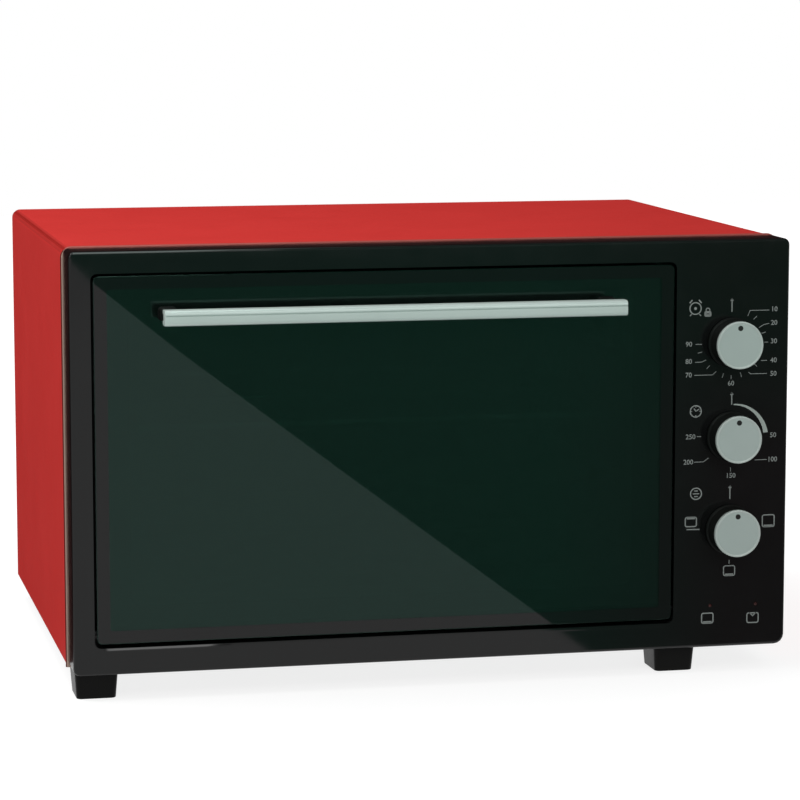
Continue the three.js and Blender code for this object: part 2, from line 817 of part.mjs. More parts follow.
// A pressed tray behind the outer glass, with a window, and an ear at each lower corner for the hinge pin.
function doorPan() {
  const outline = (by) => roundRect(inset(pan.x, by), inset(pan.z, by), door.panRadius - by);
  const tray = plate(outline(0), pan.y)
    .subtract(plate(outline(door.panSheet), [pan.y[0] - overrun, pan.y[1] - door.panSheet]))
    .subtract(plate(roundRect(windowX, windowZ, pane.cornerRadius), [pan.y[0], pan.y[1] + overrun]));
  const earOutline = ring(axis.y, axis.z, hinge.earRadius, roundSides);
  const web = roundRect([pan.y[0], pan.y[1]], [axis.z, pan.z[0] + 2 * hinge.earRadius], 0);
  const ears = pan.x.map((edge, end) => {
    const x = end ? [edge - door.panSheet, edge] : [edge, edge + door.panSheet];
    const clear = box(inset(x, -overrun), [face - overrun, pan.y[0]], around(axis.z, 4 * hinge.earRadius));
    return prism(earOutline, x).add(prism(web, x)).subtract(clear);
  });
  return joined([tray, ...ears]).subtract(joined(pinHoles(pan.x)));
}

function doorSeal() {
  const hole = roundRect(inset(inner.x, -seal.gap), inset(inner.z, -seal.gap), cavity.cornerRadius);
  const outer = grown(hole, seal.width);
  return plate(outer, [face + door.depth + fit, seatFront - fit], [hole]);
}

const handleZ = glass.z[1] - handle.depthBelowEdge;
const handleX = inset(glass.x, handle.sideGap);
const postX = [handleX[0] + handle.postWidth * half, handleX[1] - handle.postWidth * half];
const barBack = face - handle.reach + handle.depth;

// The bar is an extrusion: rounded front corners, a fine groove along its front, and a slot along its back.
function handleBar() {
  const y = [face - handle.reach, barBack];
  const z = around(handleZ, handle.height);
  const radii = [handle.edgeRadius, handle.edgeRadius * half, handle.edgeRadius * half, handle.edgeRadius];
  const grooveZ = z[1] - grooveShare * handle.height;
  const x = inset(handleX, -overrun);
  const groove = box(x, [y[0] - overrun, y[0] + handle.grooveWidth], around(grooveZ, handle.grooveWidth));
  const slot = box(x, [barBack - handle.slotDepth, barBack + overrun], around(handleZ, handle.slotHeight));
  return prism(roundRect(y, z, radii), handleX).subtract(groove).subtract(slot);
}

// A post stands on the glass, reaches the bar's back and fills the slot there with its tongue.
function handlePost(x) {
  const [width, height] = [around(x, handle.postWidth), around(handleZ, handle.postHeight)];
  const outline = (by) => roundRect(inset(width, by), inset(height, by), handle.postRadius);
  const root = face - fit;
  const wide = outline(0);
  const waist = outline(handle.baseHeight * half);
  const tip = barBack + fit;
  const post = loft([
    atDepth(wide, root),
    atDepth(wide, root - handle.baseHeight),
    atDepth(waist, root - 2 * handle.baseHeight),
    atDepth(waist, tip),
  ]);
  const tongue = box(
    inset(around(x, handle.postWidth), handle.baseHeight),
    [barBack - handle.slotDepth + fit, tip + overrun],
    around(handleZ, handle.slotHeight - 2 * fit),
  );
  const boreY = [root - handle.screwLength, root + overrun];
  const bore = bar(handle.screwRadius + fit, boreY, "y", [x, 0, handleZ], pinSides);
  return post.add(tongue).subtract(bore);
}

function handleScrew(x) {
  const seat = face + door.glassThickness + fit;
  const profile = [
    [0, face - handle.screwLength + fit],
    [handle.screwRadius, face - handle.screwLength + fit],
    [handle.screwRadius, seat],
    [handle.screwHeadRadius, seat],
    [handle.screwHeadRadius, seat + handle.headThickness * half],
    [handle.screwHeadRadius * half, seat + handle.headThickness],
    [0, seat + handle.headThickness],
  ];
  return turned(profile, "y", [x, 0, handleZ], pinSides);
}

// Hinges. Each function takes the side: 0 for left, 1 for right.

const outwards = (side) => (side ? 1 : -1);

// An interval that starts at x and runs outwards, or inwards where the distance is negative.
const reaching = (side, x, distance) => {
  const end = x + outwards(side) * distance;
  return [Math.min(x, end), Math.max(x, end)];
};

function hingePin(side) {
  const wallOutside = opening.x[side] + outwards(side) * frame.wall;
  const insideEnd = pan.x[side] - outwards(side) * hinge.pinHeadRadius;
  const headStart = wallOutside + outwards(side) * fit;
  const place = [0, axis.y, axis.z];
  const span = outwards(side) * (headStart - insideEnd) + hinge.headThickness;
  const pin = bar(hinge.pinRadius, reaching(side, insideEnd, span), "x", place, pinSides);
  const headX = reaching(side, headStart, hinge.headThickness);
  return pin.add(bar(hinge.pinHeadRadius, headX, "x", place, pinSides));
}

// A flat arm curved about the hinge line, so that it slides along itself through its slot as the door turns.
function hingeArm(side) {
  const x = around(armX[side], hinge.armSheet);
  const doorBack = face + door.depth + fit;
  const [near, far] = [hinge.armRadius - hinge.armHalfWidth, hinge.armRadius + hinge.armHalfWidth];
  const band = [
    ...arc(axis.y, axis.z, far, armTailAngle, 90, bandSteps),
    ...arc(axis.y, axis.z, near, 90, armTailAngle, bandSteps),
  ];
  const doorSide = box(inset(x, -overrun), [axis.y - far, doorBack], [axis.z - far, axis.z + far + overrun]);
  const innerFace = armX[side] - outwards(side) * hinge.armSheet * half;
  const tab = box(
    reaching(side, innerFace, hinge.armGap + hinge.armSheet * half - fit),
    [doorBack, doorBack + hinge.tabSheet],
    [axis.z + hinge.armRadius - hinge.tabBelow, axis.z + hinge.armRadius + hinge.tabAbove],
  );
  const tail = springEnds().tail;
  const eye = bar(hinge.hookHoleRadius, inset(x, -overrun), "x", [0, tail.y, tail.z], tubeSides);
  return prism(band, x).subtract(doorSide).add(tab).subtract(eye);
}

// Where a spring hooks into its arm's tail, and where it hooks into its bracket.
function springEnds() {
  const eyeAngle = radians(armTailAngle) + (2 * hinge.hookHoleRadius) / hinge.armRadius;
  const tail = {
    y: axis.y + hinge.armRadius * Math.cos(eyeAngle),
    z: axis.z + hinge.armRadius * Math.sin(eyeAngle),
  };
  return { tail, anchor: { y: seatBack + fit + hinge.bracketLength - hinge.bracketSheet, z: tail.z } };
}

// A bracket on the base pan: a roller under the arm near its slot, and a tab at the back for the spring.
function hingeBracket(side) {
  const floor = bottom + body.sheet + fit;
  const front = seatBack + fit;
  const sill = { y: face + frame.depth + fit, z: bottom + frame.wall + fit };
  const rearEnd = front + hinge.bracketLength;
  const sheetInner = armX[side] + outwards(side) * (hinge.armSheet * half + hinge.bracketGap);
  const sheet = reaching(side, sheetInner, hinge.bracketSheet);
  const tailTop = axis.z - hinge.tailHeight;
  const outline = [
    new THREE.Vector2(front, sill.z),
    new THREE.Vector2(sill.y, sill.z),
    new THREE.Vector2(sill.y, floor),
    new THREE.Vector2(rearEnd, floor),
    new THREE.Vector2(rearEnd, tailTop),
    new THREE.Vector2(front + hinge.neckLength, tailTop),
    new THREE.Vector2(front + hinge.neckLength * half, axis.z + hinge.riseHeight),
    new THREE.Vector2(front, axis.z + hinge.riseHeight),
  ];
  const footX = reaching(side, sheetInner, -hinge.footWidth);
  const footFlange = box(footX, [sill.y + body.sheet, rearEnd], [floor, floor + hinge.bracketSheet]);
  const tab = box(footX, [rearEnd - hinge.bracketSheet, rearEnd], [floor, tailTop]);
  const { anchor } = springEnds();
  const slotY = inset([rearEnd, rearEnd], -overrun);
  const slot = bar(hinge.hookHoleRadius, slotY, "y", [armX[side], 0, anchor.z], tubeSides);
  const rollerReach = hinge.armRadius - hinge.armHalfWidth - hinge.rollerRadius - hinge.slackGap;
  const rollerPlace = [
    0,
    axis.y + rollerReach * Math.cos(radians(rollerAngle)),
    axis.z + rollerReach * Math.sin(radians(rollerAngle)),
  ];
  const rollerWidth = hinge.bracketGap + hinge.armSheet + hinge.bracketSheet;
  const rollerX = reaching(side, sheetInner, -rollerWidth);
  const roller = bar(hinge.rollerRadius, rollerX, "x", rollerPlace, pinSides);
  return joined([prism(outline, sheet), footFlange, tab, roller]).subtract(slot);
}

// The spring's coil as its outer shape, with a straight hook at each end.
function hingeSpring(side) {
  const { tail, anchor } = springEnds();
  const armOutside = hinge.armRadius + hinge.armHalfWidth;
  const start = axis.y + Math.sqrt(armOutside ** 2 - (tail.z - axis.z) ** 2) + fit;
  const end = anchor.y - fit;
  const place = [armX[side], 0, tail.z];
  const hooks = bar(spring.hookRadius, [start, end], "y", place, wireSides);
  const taper = spring.radius - spring.hookRadius;
  const coil = [
    [0, start + spring.hookLength],
    [spring.hookRadius, start + spring.hookLength],
    [spring.radius, start + spring.hookLength + taper],
    [spring.radius, end - spring.hookLength - taper],
    [spring.hookRadius, end - spring.hookLength],
    [0, end - spring.hookLength],
  ];
  return hooks.add(turned(coil, "y", place, pinSides));
}

// Controls

function knobBody(row) {
  const y = face - knob.gap;
  const profile = [
    [0, face - knob.height + knob.capThickness + fit],
    [knob.radius - knob.capGap, face - knob.height + knob.capThickness + fit],
    [knob.radius, y - knob.skirtHeight - knob.capGap],
    [knob.skirtRadius, y - knob.skirtHeight],
    [knob.skirtRadius, y],
    [0, y],
  ];
  const place = [controlX, 0, controlZ(row)];
  const bore = bar(shaft.radius + fit, [y - shaft.knobLength - fit, y + overrun], "y", place, pinSides);
  return turned(profile, "y", place, roundSides).subtract(bore);
}

// The silver face: a disc with a raised rim and a small round mark near its top.
function knobCap(row) {
  const front = face - knob.height;
  const place = [controlX, 0, controlZ(row)];
  const profile = [
    [0, front + knob.rimWidth * half],
    [knob.radius - 2 * knob.rimWidth, front + knob.rimWidth * half],
    [knob.radius - knob.rimWidth, front],
    [knob.radius - knob.rimWidth * half, front],
    [knob.radius, front + knob.rimWidth * half],
    [knob.radius, front + knob.capThickness],
    [0, front + knob.capThickness],
  ];
  const mark = bar(
    knob.dotRadius,
    [front - overrun, front + knob.rimWidth * half + knob.dotDepth],
    "y",
    [controlX, 0, controlZ(row) + knob.dotOffset],
    pinSides,
  );
  return turned(profile, "y", place, roundSides).subtract(mark);
}

// A round shaft with a flat along the end that the knob grips.
function controlShaft(row) {
  const place = [controlX, 0, controlZ(row)];
  const y = [face - knob.gap - shaft.knobLength, panelBack + shaft.bodyLength];
  const rod = bar(shaft.radius, y, "y", place, pinSides);
  const flat = box(
    around(controlX, 4 * shaft.radius),
    [y[0] - overrun, face - shaft.radius],
    [controlZ(row) + shaft.radius - shaft.flatDepth, controlZ(row) + 2 * shaft.radius],
  );
  return rod.subtract(flat);
}

// The bush of a control passes through the panel and carries the shaft.
function controlBush(row, depth) {
  const y = [face + frame.wall * half, panelBack + fit + depth * half];
  return bar(shaft.bushRadius, y, "y", [controlX, 0, controlZ(row)], pinSides);
}

function shaftBore(row) {
  const y = [face - overrun, panelBack + shaft.bodyLength + fit];
  return bar(shaft.radius + fit, y, "y", [controlX, 0, controlZ(row)], pinSides);
}

// Blade terminals that stand out of the back of a control.
function blades(row, y, places) {
  return places.map(([dx, dz]) =>
    box(
      around(controlX + dx, blade.width),
      [y - overrun * half, y + blade.length],
      around(controlZ(row) + dz, blade.sheet),
    ),
  );
}

function timerBody() {
  const y = panelBack + fit;
  const z = controlZ(0);
  const plateEnd = y + timer.plateThickness;
  const mountPlate = box(around(controlX, timer.plateWidth), [y, plateEnd], around(z, timer.plateHeight));
  const place = [controlX, 0, z];
  const canEnd = plateEnd + timer.canDepth;
  const can = bar(timer.canRadius, [y, canEnd], "y", place, roundSides);
  const bell = turned(
    [
      [0, canEnd - fit],
      [timer.bellRadius, canEnd - fit],
      [timer.bellRadius, canEnd + timer.bellDepth * half],
      [timer.bellRadius * half, canEnd + timer.bellDepth],
      [0, canEnd + timer.bellDepth],
    ],
    "y",
    place,
    pinSides,
  );
  const terminals = blades(0, canEnd, [[timer.canRadius - blade.width, 0]]);
  return joined([mountPlate, can, bell, controlBush(0, timer.canDepth), ...terminals]).subtract(shaftBore(0));
}

function thermostatBody() {
  const y = panelBack + fit;
  const z = controlZ(1);
  const end = y + thermostat.plateThickness + thermostat.depth;
  const plateZ = around(z, thermostat.height * half);
  const mountPlate = box(around(controlX, thermostat.plateWidth), [y, y + thermostat.plateThickness], plateZ);
  const housing = plate(
    roundRect(around(controlX, thermostat.width), around(z, thermostat.height), foot.cornerRadius),
    [y, end],
  );
  const offset = thermostat.width * half * half;
  const terminals = blades(1, end, [
    [-offset, 0],
    [offset, 0],
  ]);
  return joined([mountPlate, housing, controlBush(1, thermostat.depth), ...terminals]).subtract(shaftBore(1));
}

// A rotary switch: a stack of round wafers on a core.
function selectorSwitch() {
  const y = panelBack + fit;
  const z = controlZ(2);
  const place = [controlX, 0, z];
  const pitch = selector.waferThickness + selector.waferGap;
  const start = y + selector.plateThickness + selector.waferGap;
  const end = start + selectorWafers * pitch;
  const plateZ = around(z, selector.plateHeight);
  const mountPlate = box(around(controlX, selector.plateWidth), [y, y + selector.plateThickness], plateZ);
  const wafers = Array.from({ length: selectorWafers }, (_, k) => {
    const near = start + k * pitch;
    return bar(selector.radius, [near, near + selector.waferThickness], "y", place, roundSides);
  });
  const core = bar(selector.coreRadius, [y, end], "y", place, pinSides);
  const terminals = blades(2, end, [
    [0, -selector.coreRadius * half],
    [0, selector.coreRadius * half],
  ]);
  const bush = controlBush(2, selector.waferThickness);
  return joined([mountPlate, core, ...wafers, ...terminals, bush]).subtract(shaftBore(2));
}

// An indicator lamp: a small domed lens in the panel and its holder behind.
function indicatorLamp(x) {
  const profile = [
    [0, face - lamp.domeHeight * half],
    [lamp.lensRadius * half, face - lamp.domeHeight * half],
    [lamp.lensRadius, face + lamp.domeHeight],
    [lamp.lensRadius, panelBack + fit],
    [lamp.flangeRadius, panelBack + fit],
    [lamp.flangeRadius, panelBack + fit + lamp.flangeRadius * half],
    [lamp.bodyRadius, panelBack + fit + lamp.flangeRadius * half],
    [lamp.bodyRadius, panelBack + lamp.length],
    [0, panelBack + lamp.length],
  ];
  return turned(profile, "y", [x, 0, lampZ], tubeSides);
}

// The thermostat's bulb lies in the cavity beside the right wall, and its capillary runs to the thermostat.
const bulbX = inner.x[1] - runner.reach - bulb.wallGap;
const bulbZ = inner.z[1] - bulb.roofGap;
const bulbY = [face + bulb.frontOffset, face + bulb.frontOffset + bulb.length];

function thermostatBulb() {
  const at = (x, y, z) => new THREE.Vector3(x, y, z);
  const thermostatEnd = panelBack + 2 * fit + thermostat.plateThickness + thermostat.depth;
  const y = bulbY[0] - bulb.leadLength;
  const start = at(controlX, thermostatEnd, controlZ(1) - thermostat.height * half * half);
  const route = new THREE.CatmullRomCurve3([
    start,
    at(controlX, start.y + bulb.leadLength, start.z),
    at(controlX - bulb.leadLength, (start.y + y) * half, (start.z + bulbZ) * half),
    at(shieldX + bulb.leadLength, y, bulbZ),
    at(shieldX, y, bulbZ),
    at(linerRight, y, bulbZ),
    at(inner.x[1] - runner.reach * half, y, bulbZ),
    at(bulbX, bulbY[0] - bulb.leadLength * half, bulbZ),
    at(bulbX, bulbY[0] + bulb.radius, bulbZ),
  ]);
  const capsule = turned(
    [
      [0, bulbY[0]],
      [bulb.radius, bulbY[0] + bulb.radius],
      [bulb.radius, bulbY[1] - bulb.radius],
      [0, bulbY[1]],
    ],
    "y",
    [bulbX, 0, bulbZ],
    tubeSides,
  );
  return wire(route, bulb.capillaryRadius, capillarySteps, wireSides).add(capsule);
}

// Wiring in the control space

const blockX = around(glandX, block.width);
const blockY = [back - block.backGap - block.length, back - block.backGap];
const blockZ = [bottom + body.sheet + fit, bottom + body.sheet + fit + block.height];

function terminalBlock() {
  const made = box(blockX, blockY, blockZ);
  const depth = [blockZ[1] - block.screwRadius, blockZ[1] + overrun];
  const wells = [-1, 0, 1].map((k) =>
    bar(block.screwRadius, depth, "z", [glandX + (k * block.width) / 3, middle(blockY), 0], tubeSides),
  );
  return made.subtract(joined(wells));
}

// A lead along hand-placed points between two fixed ends.
function leadAlong(points) {
  return wire(new THREE.CatmullRomCurve3(points), lead.radius, leadSteps * points.length, wireSides);
}

function supplyLead() {
  const start = back - rear.recessDepth - body.sheet - gland.insideLength - fit;
  const end = middle(blockZ);
  return leadAlong([
    new THREE.Vector3(glandX, start, glandZ),
    new THREE.Vector3(glandX, start - lead.bowLength, glandZ),
    new THREE.Vector3(glandX, (start + blockY[1]) * half, (glandZ + end) * half),
    new THREE.Vector3(glandX, blockY[1] + lead.bowLength * half, end),
    new THREE.Vector3(glandX, blockY[1] + fit, end),
  ]);
}

// From the terminal block along the floor, then up behind the controls to the timer's terminal.
function timerLead() {
  const timerEnd = panelBack + fit + timer.plateThickness + timer.canDepth + blade.length + fit;
  const x = controlX + timer.canRadius - blade.width;
  const behind = timerEnd + 3 * lead.bowLength;
  return leadAlong([
    new THREE.Vector3(blockX[1] - lead.bowLength * half, blockY[0] - fit, middle(blockZ)),
    new THREE.Vector3(blockX[1] - lead.bowLength * half, blockY[0] - lead.bowLength, middle(blockZ)),
    new THREE.Vector3(x, (blockY[0] + behind) * half, blockZ[1] + lead.bowLength),
    new THREE.Vector3(x, behind + lead.bowLength, blockZ[1] + 3 * lead.bowLength),
    new THREE.Vector3(x, behind, (blockZ[1] + controlZ(0)) * half),
    new THREE.Vector3(x, behind - lead.bowLength, controlZ(0) - lead.bowLength),
    new THREE.Vector3(x, timerEnd + lead.bowLength, controlZ(0)),
    new THREE.Vector3(x, timerEnd, controlZ(0)),
  ]);
}

// From the switch to an element's front terminal.
function elementLead(level, offset) {
  const pitch = selector.waferThickness + selector.waferGap;
  const stack = selector.plateThickness + selector.waferGap + selectorWafers * pitch;
  const switchEnd = panelBack + 2 * fit + stack;
  const start = new THREE.Vector3(controlX, switchEnd + blade.length, controlZ(2) + offset);
  const pinEnd = linerRight + element.ceramicOffset + element.ceramicLength + element.pinLength + fit;
  const z = elementHeights[level];
  const y = elementY - element.bendRadius;
  return leadAlong([
    start,
    new THREE.Vector3(start.x, start.y + lead.bowLength, start.z),
    new THREE.Vector3(start.x, (start.y + y) * half, (start.z + z) * half),
    new THREE.Vector3(pinEnd + lead.bowLength, y, z),
    new THREE.Vector3(pinEnd, y, z),
  ]);
}

// Rack and tray

const rackX = inset(inner.x, rack.sideGap);
const rackY = [inner.y[0] + rack.frontGap, inner.y[1] - rack.rearGap];

// A welded rack: a rounded loop of rod, wires from front to back, and one rod across under them.
function wireRack() {
  const z = ledge(rackLevel) + fit + rack.rodRadius;
  const loopOutline = (by) => roundRect(inset(rackX, by), inset(rackY, by), rack.cornerRadius - by);
  const centre = loopOutline(rack.rodRadius).map((p) => new THREE.Vector3(p.x, p.y, z));
  const loop = closedRod(centre, rack.rodRadius);
  const pitch = (rackX[1] - rackX[0]) / (rackWires + 1);
  const wireY = inset(rackY, rack.rodRadius);
  const wireZ = z + rack.rodRadius - rack.wireRadius;
  const wires = Array.from({ length: rackWires }, (_, k) =>
    bar(rack.wireRadius, wireY, "y", [rackX[0] + (k + 1) * pitch, 0, wireZ], wireSides),
  );
  const crossPlace = [0, middle(rackY), z - rack.rodRadius + rack.crossRadius];
  const cross = bar(rack.crossRadius, inset(rackX, rack.rodRadius), "x", crossPlace, wireSides);
  return joined([loop, ...wires, cross]);
}

// A rod of eight sides bent along a closed flat loop of points.
function closedRod(points, radius) {
  const count = points.length;
  const rings = points.map((p, k) => {
    const ahead = points[(k + 1) % count].clone().sub(p).normalize();
    const behind = p.clone().sub(points[(k + count - 1) % count]).normalize();
    const tangent = ahead.add(behind).normalize();
    const side = new THREE.Vector3(tangent.y, -tangent.x, 0);
    return ring(0, 0, radius, tubeSides).map((q) =>
      p.clone().addScaledVector(side, q.x).add(new THREE.Vector3(0, 0, q.y)),
    );
  });
  const faces = [];
  for (let r = 0; r < count; r += 1) {
    const [here, there] = [r * tubeSides, ((r + 1) % count) * tubeSides];
    for (let k = 0; k < tubeSides; k += 1) {
      const next = (k + 1) % tubeSides;
      faces.push(here + k, there + k, here + next, here + next, there + k, there + next);
    }
  }
  const geometry = new THREE.BufferGeometry().setFromPoints(rings.flat());
  geometry.setIndex(faces);
  return solid(geometry);
}

// A pressed tray with sloping walls, hung by its rim on the runners.
function bakingTray() {
  const x = inset(inner.x, tray.sideGap);
  const y = [inner.y[0] + tray.frontGap, inner.y[1] - tray.rearGap];
  const rimZ = ledge(trayLevel) + fit;
  const floorZ = rimZ - tray.depth;
  const outline = (by) => roundRect(inset(x, by), inset(y, by), tray.cornerRadius);
  const wallTop = tray.rimWidth;
  const outer = loft([
    atHeight(outline(wallTop + tray.slopeWidth), floorZ),
    atHeight(outline(wallTop), rimZ + tray.sheet * half),
  ]);
  const rim = slab(outline(0), [rimZ, rimZ + tray.sheet]);
  const hollow = loft([
    atHeight(outline(wallTop + tray.slopeWidth + tray.sheet), floorZ + tray.sheet),
    atHeight(outline(wallTop + tray.sheet), rimZ + tray.sheet + overrun * half),
  ]);
  return outer.add(rim).subtract(hollow);
}

add("outer_wrap", "redPaint", outerWrap());
add("base_pan", "zincSteel", basePanSolid());
add("rear_panel", "zincSteel", rearPanel());
add("cable_gland", "blackPlastic", cableGland());
add("front_frame", "blackPaint", frontFrame());
add("cavity_liner", "darkEnamel", cavityLiner());
add("heat_shield", "zincSteel", heatShield());
addFeet();

for (const [level, z] of Object.entries(elementHeights)) {
  const mount = level === "upper" ? inner.z[1] : inner.z[0];
  add(`${level}_element`, "elementSteel", heatingElement(z));
  add(`${level}_element_clip`, "zincSteel", elementClip(z, mount));
}

add("door_outer_glass", "smokedGlass", doorOuterGlass());
add("door_inner_glass", "clearGlass", doorInnerGlass());
add("door_pan", "blackPaint", doorPan());
add("door_seal", "silicone", doorSeal());
add("handle_bar", "satinSilver", handleBar());
["left", "right"].forEach((name, side) => {
  add(`handle_post_${name}`, "blackPlastic", handlePost(postX[side]));
  add(`handle_screw_${name}`, "zincSteel", handleScrew(postX[side]));
  add(`hinge_pin_${name}`, "zincSteel", hingePin(side));
  add(`hinge_arm_${name}`, "zincSteel", hingeArm(side));
  add(`hinge_bracket_${name}`, "zincSteel", hingeBracket(side));
  add(`hinge_spring_${name}`, "zincSteel", hingeSpring(side));
  add(`indicator_lamp_${name}`, "redLens", indicatorLamp(lampX[side]));
});

["timer", "thermostat", "function"].forEach((name, row) => {
  add(`${name}_knob`, "blackPlastic", knobBody(row));
  add(`${name}_knob_cap`, "satinSilver", knobCap(row));
  add(`${name}_shaft`, "zincSteel", controlShaft(row));
});
add("timer_body", "zincSteel", timerBody());
add("thermostat_body", "ceramic", thermostatBody());
add("selector_switch", "blackPlastic", selectorSwitch());
add("thermostat_bulb", "copper", thermostatBulb());
add("terminal_block", "ceramic", terminalBlock());
add("supply_lead", "leadSleeve", supplyLead());
add("timer_lead", "leadSleeve", timerLead());
add("upper_element_lead", "leadSleeve", elementLead("upper", selector.coreRadius * half));
add("lower_element_lead", "leadSleeve", elementLead("lower", -selector.coreRadius * half));

add("wire_rack", "chromedWire", wireRack());
add("baking_tray", "darkEnamel", bakingTray());

export default oven;
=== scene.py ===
"""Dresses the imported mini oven: finishes, fine meshes for what shows, printed dials, studio and camera.

Sizes are held in millimetres, in the frame of the CAD model: X to the right, Y to the back, Z up.
"""

import logging
import math
from collections.abc import Callable, Iterable, Sequence
from dataclasses import dataclass, field
from enum import Enum, IntEnum

import bmesh
import bpy
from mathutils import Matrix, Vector


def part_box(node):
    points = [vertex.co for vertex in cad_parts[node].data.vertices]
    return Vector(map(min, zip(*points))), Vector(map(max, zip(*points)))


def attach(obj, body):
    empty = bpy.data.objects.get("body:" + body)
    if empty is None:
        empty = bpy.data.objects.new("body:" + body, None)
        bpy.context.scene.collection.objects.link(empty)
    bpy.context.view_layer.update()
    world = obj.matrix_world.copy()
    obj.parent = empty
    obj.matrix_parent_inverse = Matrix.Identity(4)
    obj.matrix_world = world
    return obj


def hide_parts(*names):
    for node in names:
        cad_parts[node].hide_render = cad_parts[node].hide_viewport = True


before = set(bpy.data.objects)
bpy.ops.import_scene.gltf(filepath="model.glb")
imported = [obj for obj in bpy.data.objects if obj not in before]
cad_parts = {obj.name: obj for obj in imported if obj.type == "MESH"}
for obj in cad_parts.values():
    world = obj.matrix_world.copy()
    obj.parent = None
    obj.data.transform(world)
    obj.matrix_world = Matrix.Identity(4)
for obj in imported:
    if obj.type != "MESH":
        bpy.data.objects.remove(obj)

log = logging.getLogger("mini_oven")

Point2 = tuple[float, float]
Point3 = tuple[float, float, float]
Span = tuple[float, float]
Colour = tuple[float, float, float]
Linear = tuple[float, float, float, float]
Socket = bpy.types.NodeSocket
Sockets = bpy.types.NodeOutputs
Piece = bpy.types.Object

MM = 0.001


# Sizes and outlines


class Side(Enum):
    """The two sides of the oven."""

    LEFT = "left"
    RIGHT = "right"

    def of(self, stem: str) -> str:
        """The name of this side's node or piece."""
        return f"{stem}_{self.value}"


def both(stem: str) -> tuple[str, str]:
    """The names of a left and a right node."""
    return Side.LEFT.of(stem), Side.RIGHT.of(stem)


def node_spans(node: str) -> tuple[Span, Span, Span]:
    """Where a CAD node starts and ends along X, Y and Z, in millimetres."""
    low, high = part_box(node)
    return tuple((low[axis] / MM, high[axis] / MM) for axis in range(3))


def frame_face() -> float:
    """The depth of the front frame's face."""
    return node_spans("front_frame")[1][0]


def inset(span: Span, by: float) -> Span:
    """The span with both ends moved inwards."""
    return span[0] + by, span[1] - by


def middle(span: Span) -> float:
    """The middle of a span."""
    return (span[0] + span[1]) / 2


def around(centre: float, size: float) -> Span:
    """The span of a given size about a centre."""
    return centre - size / 2, centre + size / 2


def circle(u: float, v: float, radius: float, sides: int = 32) -> list[Point2]:
    """A regular outline round a centre."""
    turn = 2 * math.pi / sides
    return [(u + radius * math.cos(k * turn), v + radius * math.sin(k * turn)) for k in range(sides)]


def arc(u: float, v: float, radius: float, start: float, end: float, steps: int = 12) -> list[Point2]:
    """Points along an arc, its angles in degrees counterclockwise from the first axis."""
    turns = [math.radians(start + (end - start) * k / steps) for k in range(steps + 1)]
    return [(u + radius * math.cos(t), v + radius * math.sin(t)) for t in turns]


def rounded(u: Span, v: Span, radius: float, steps: int = 8) -> list[Point2]:
    """A rectangle with rounded corners, counterclockwise from its lower left.

    Args:
        u: its span along the first axis.
        v: its span along the second axis.
        radius: the corners' radius.
        steps: how many edges round each corner.

    Returns:
        The outline's points, four times steps + 1 of them.
    """
    (u0, u1), (v0, v1) = inset(u, radius), inset(v, radius)
    points = []
    for start, (cu, cv) in zip((180, 270, 360, 450), ((u0, v0), (u1, v0), (u1, v1), (u0, v1))):
        points += arc(cu, cv, radius, start, start + 90, steps)
    return points


def at_x(points: Iterable[Point2], x: float) -> list[Point3]:
    """A YZ outline set at a place along X."""
    return [(x, u, v) for u, v in points]


def at_y(points: Iterable[Point2], y: float) -> list[Point3]:
    """An XZ outline set at a depth."""
    return [(u, y, v) for u, v in points]


def at_z(points: Iterable[Point2], z: float) -> list[Point3]:
    """An XY outline set at a height."""
    return [(u, v, z) for u, v in points]


# Shader effects


# Ranges that a value is carried between: a share, a swing about 0, and where most of a noise lies
SHARE: Span = (0.0, 1.0)
SWING: Span = (-1.0, 1.0)
NOISE_CORE: Span = (0.3, 0.7)


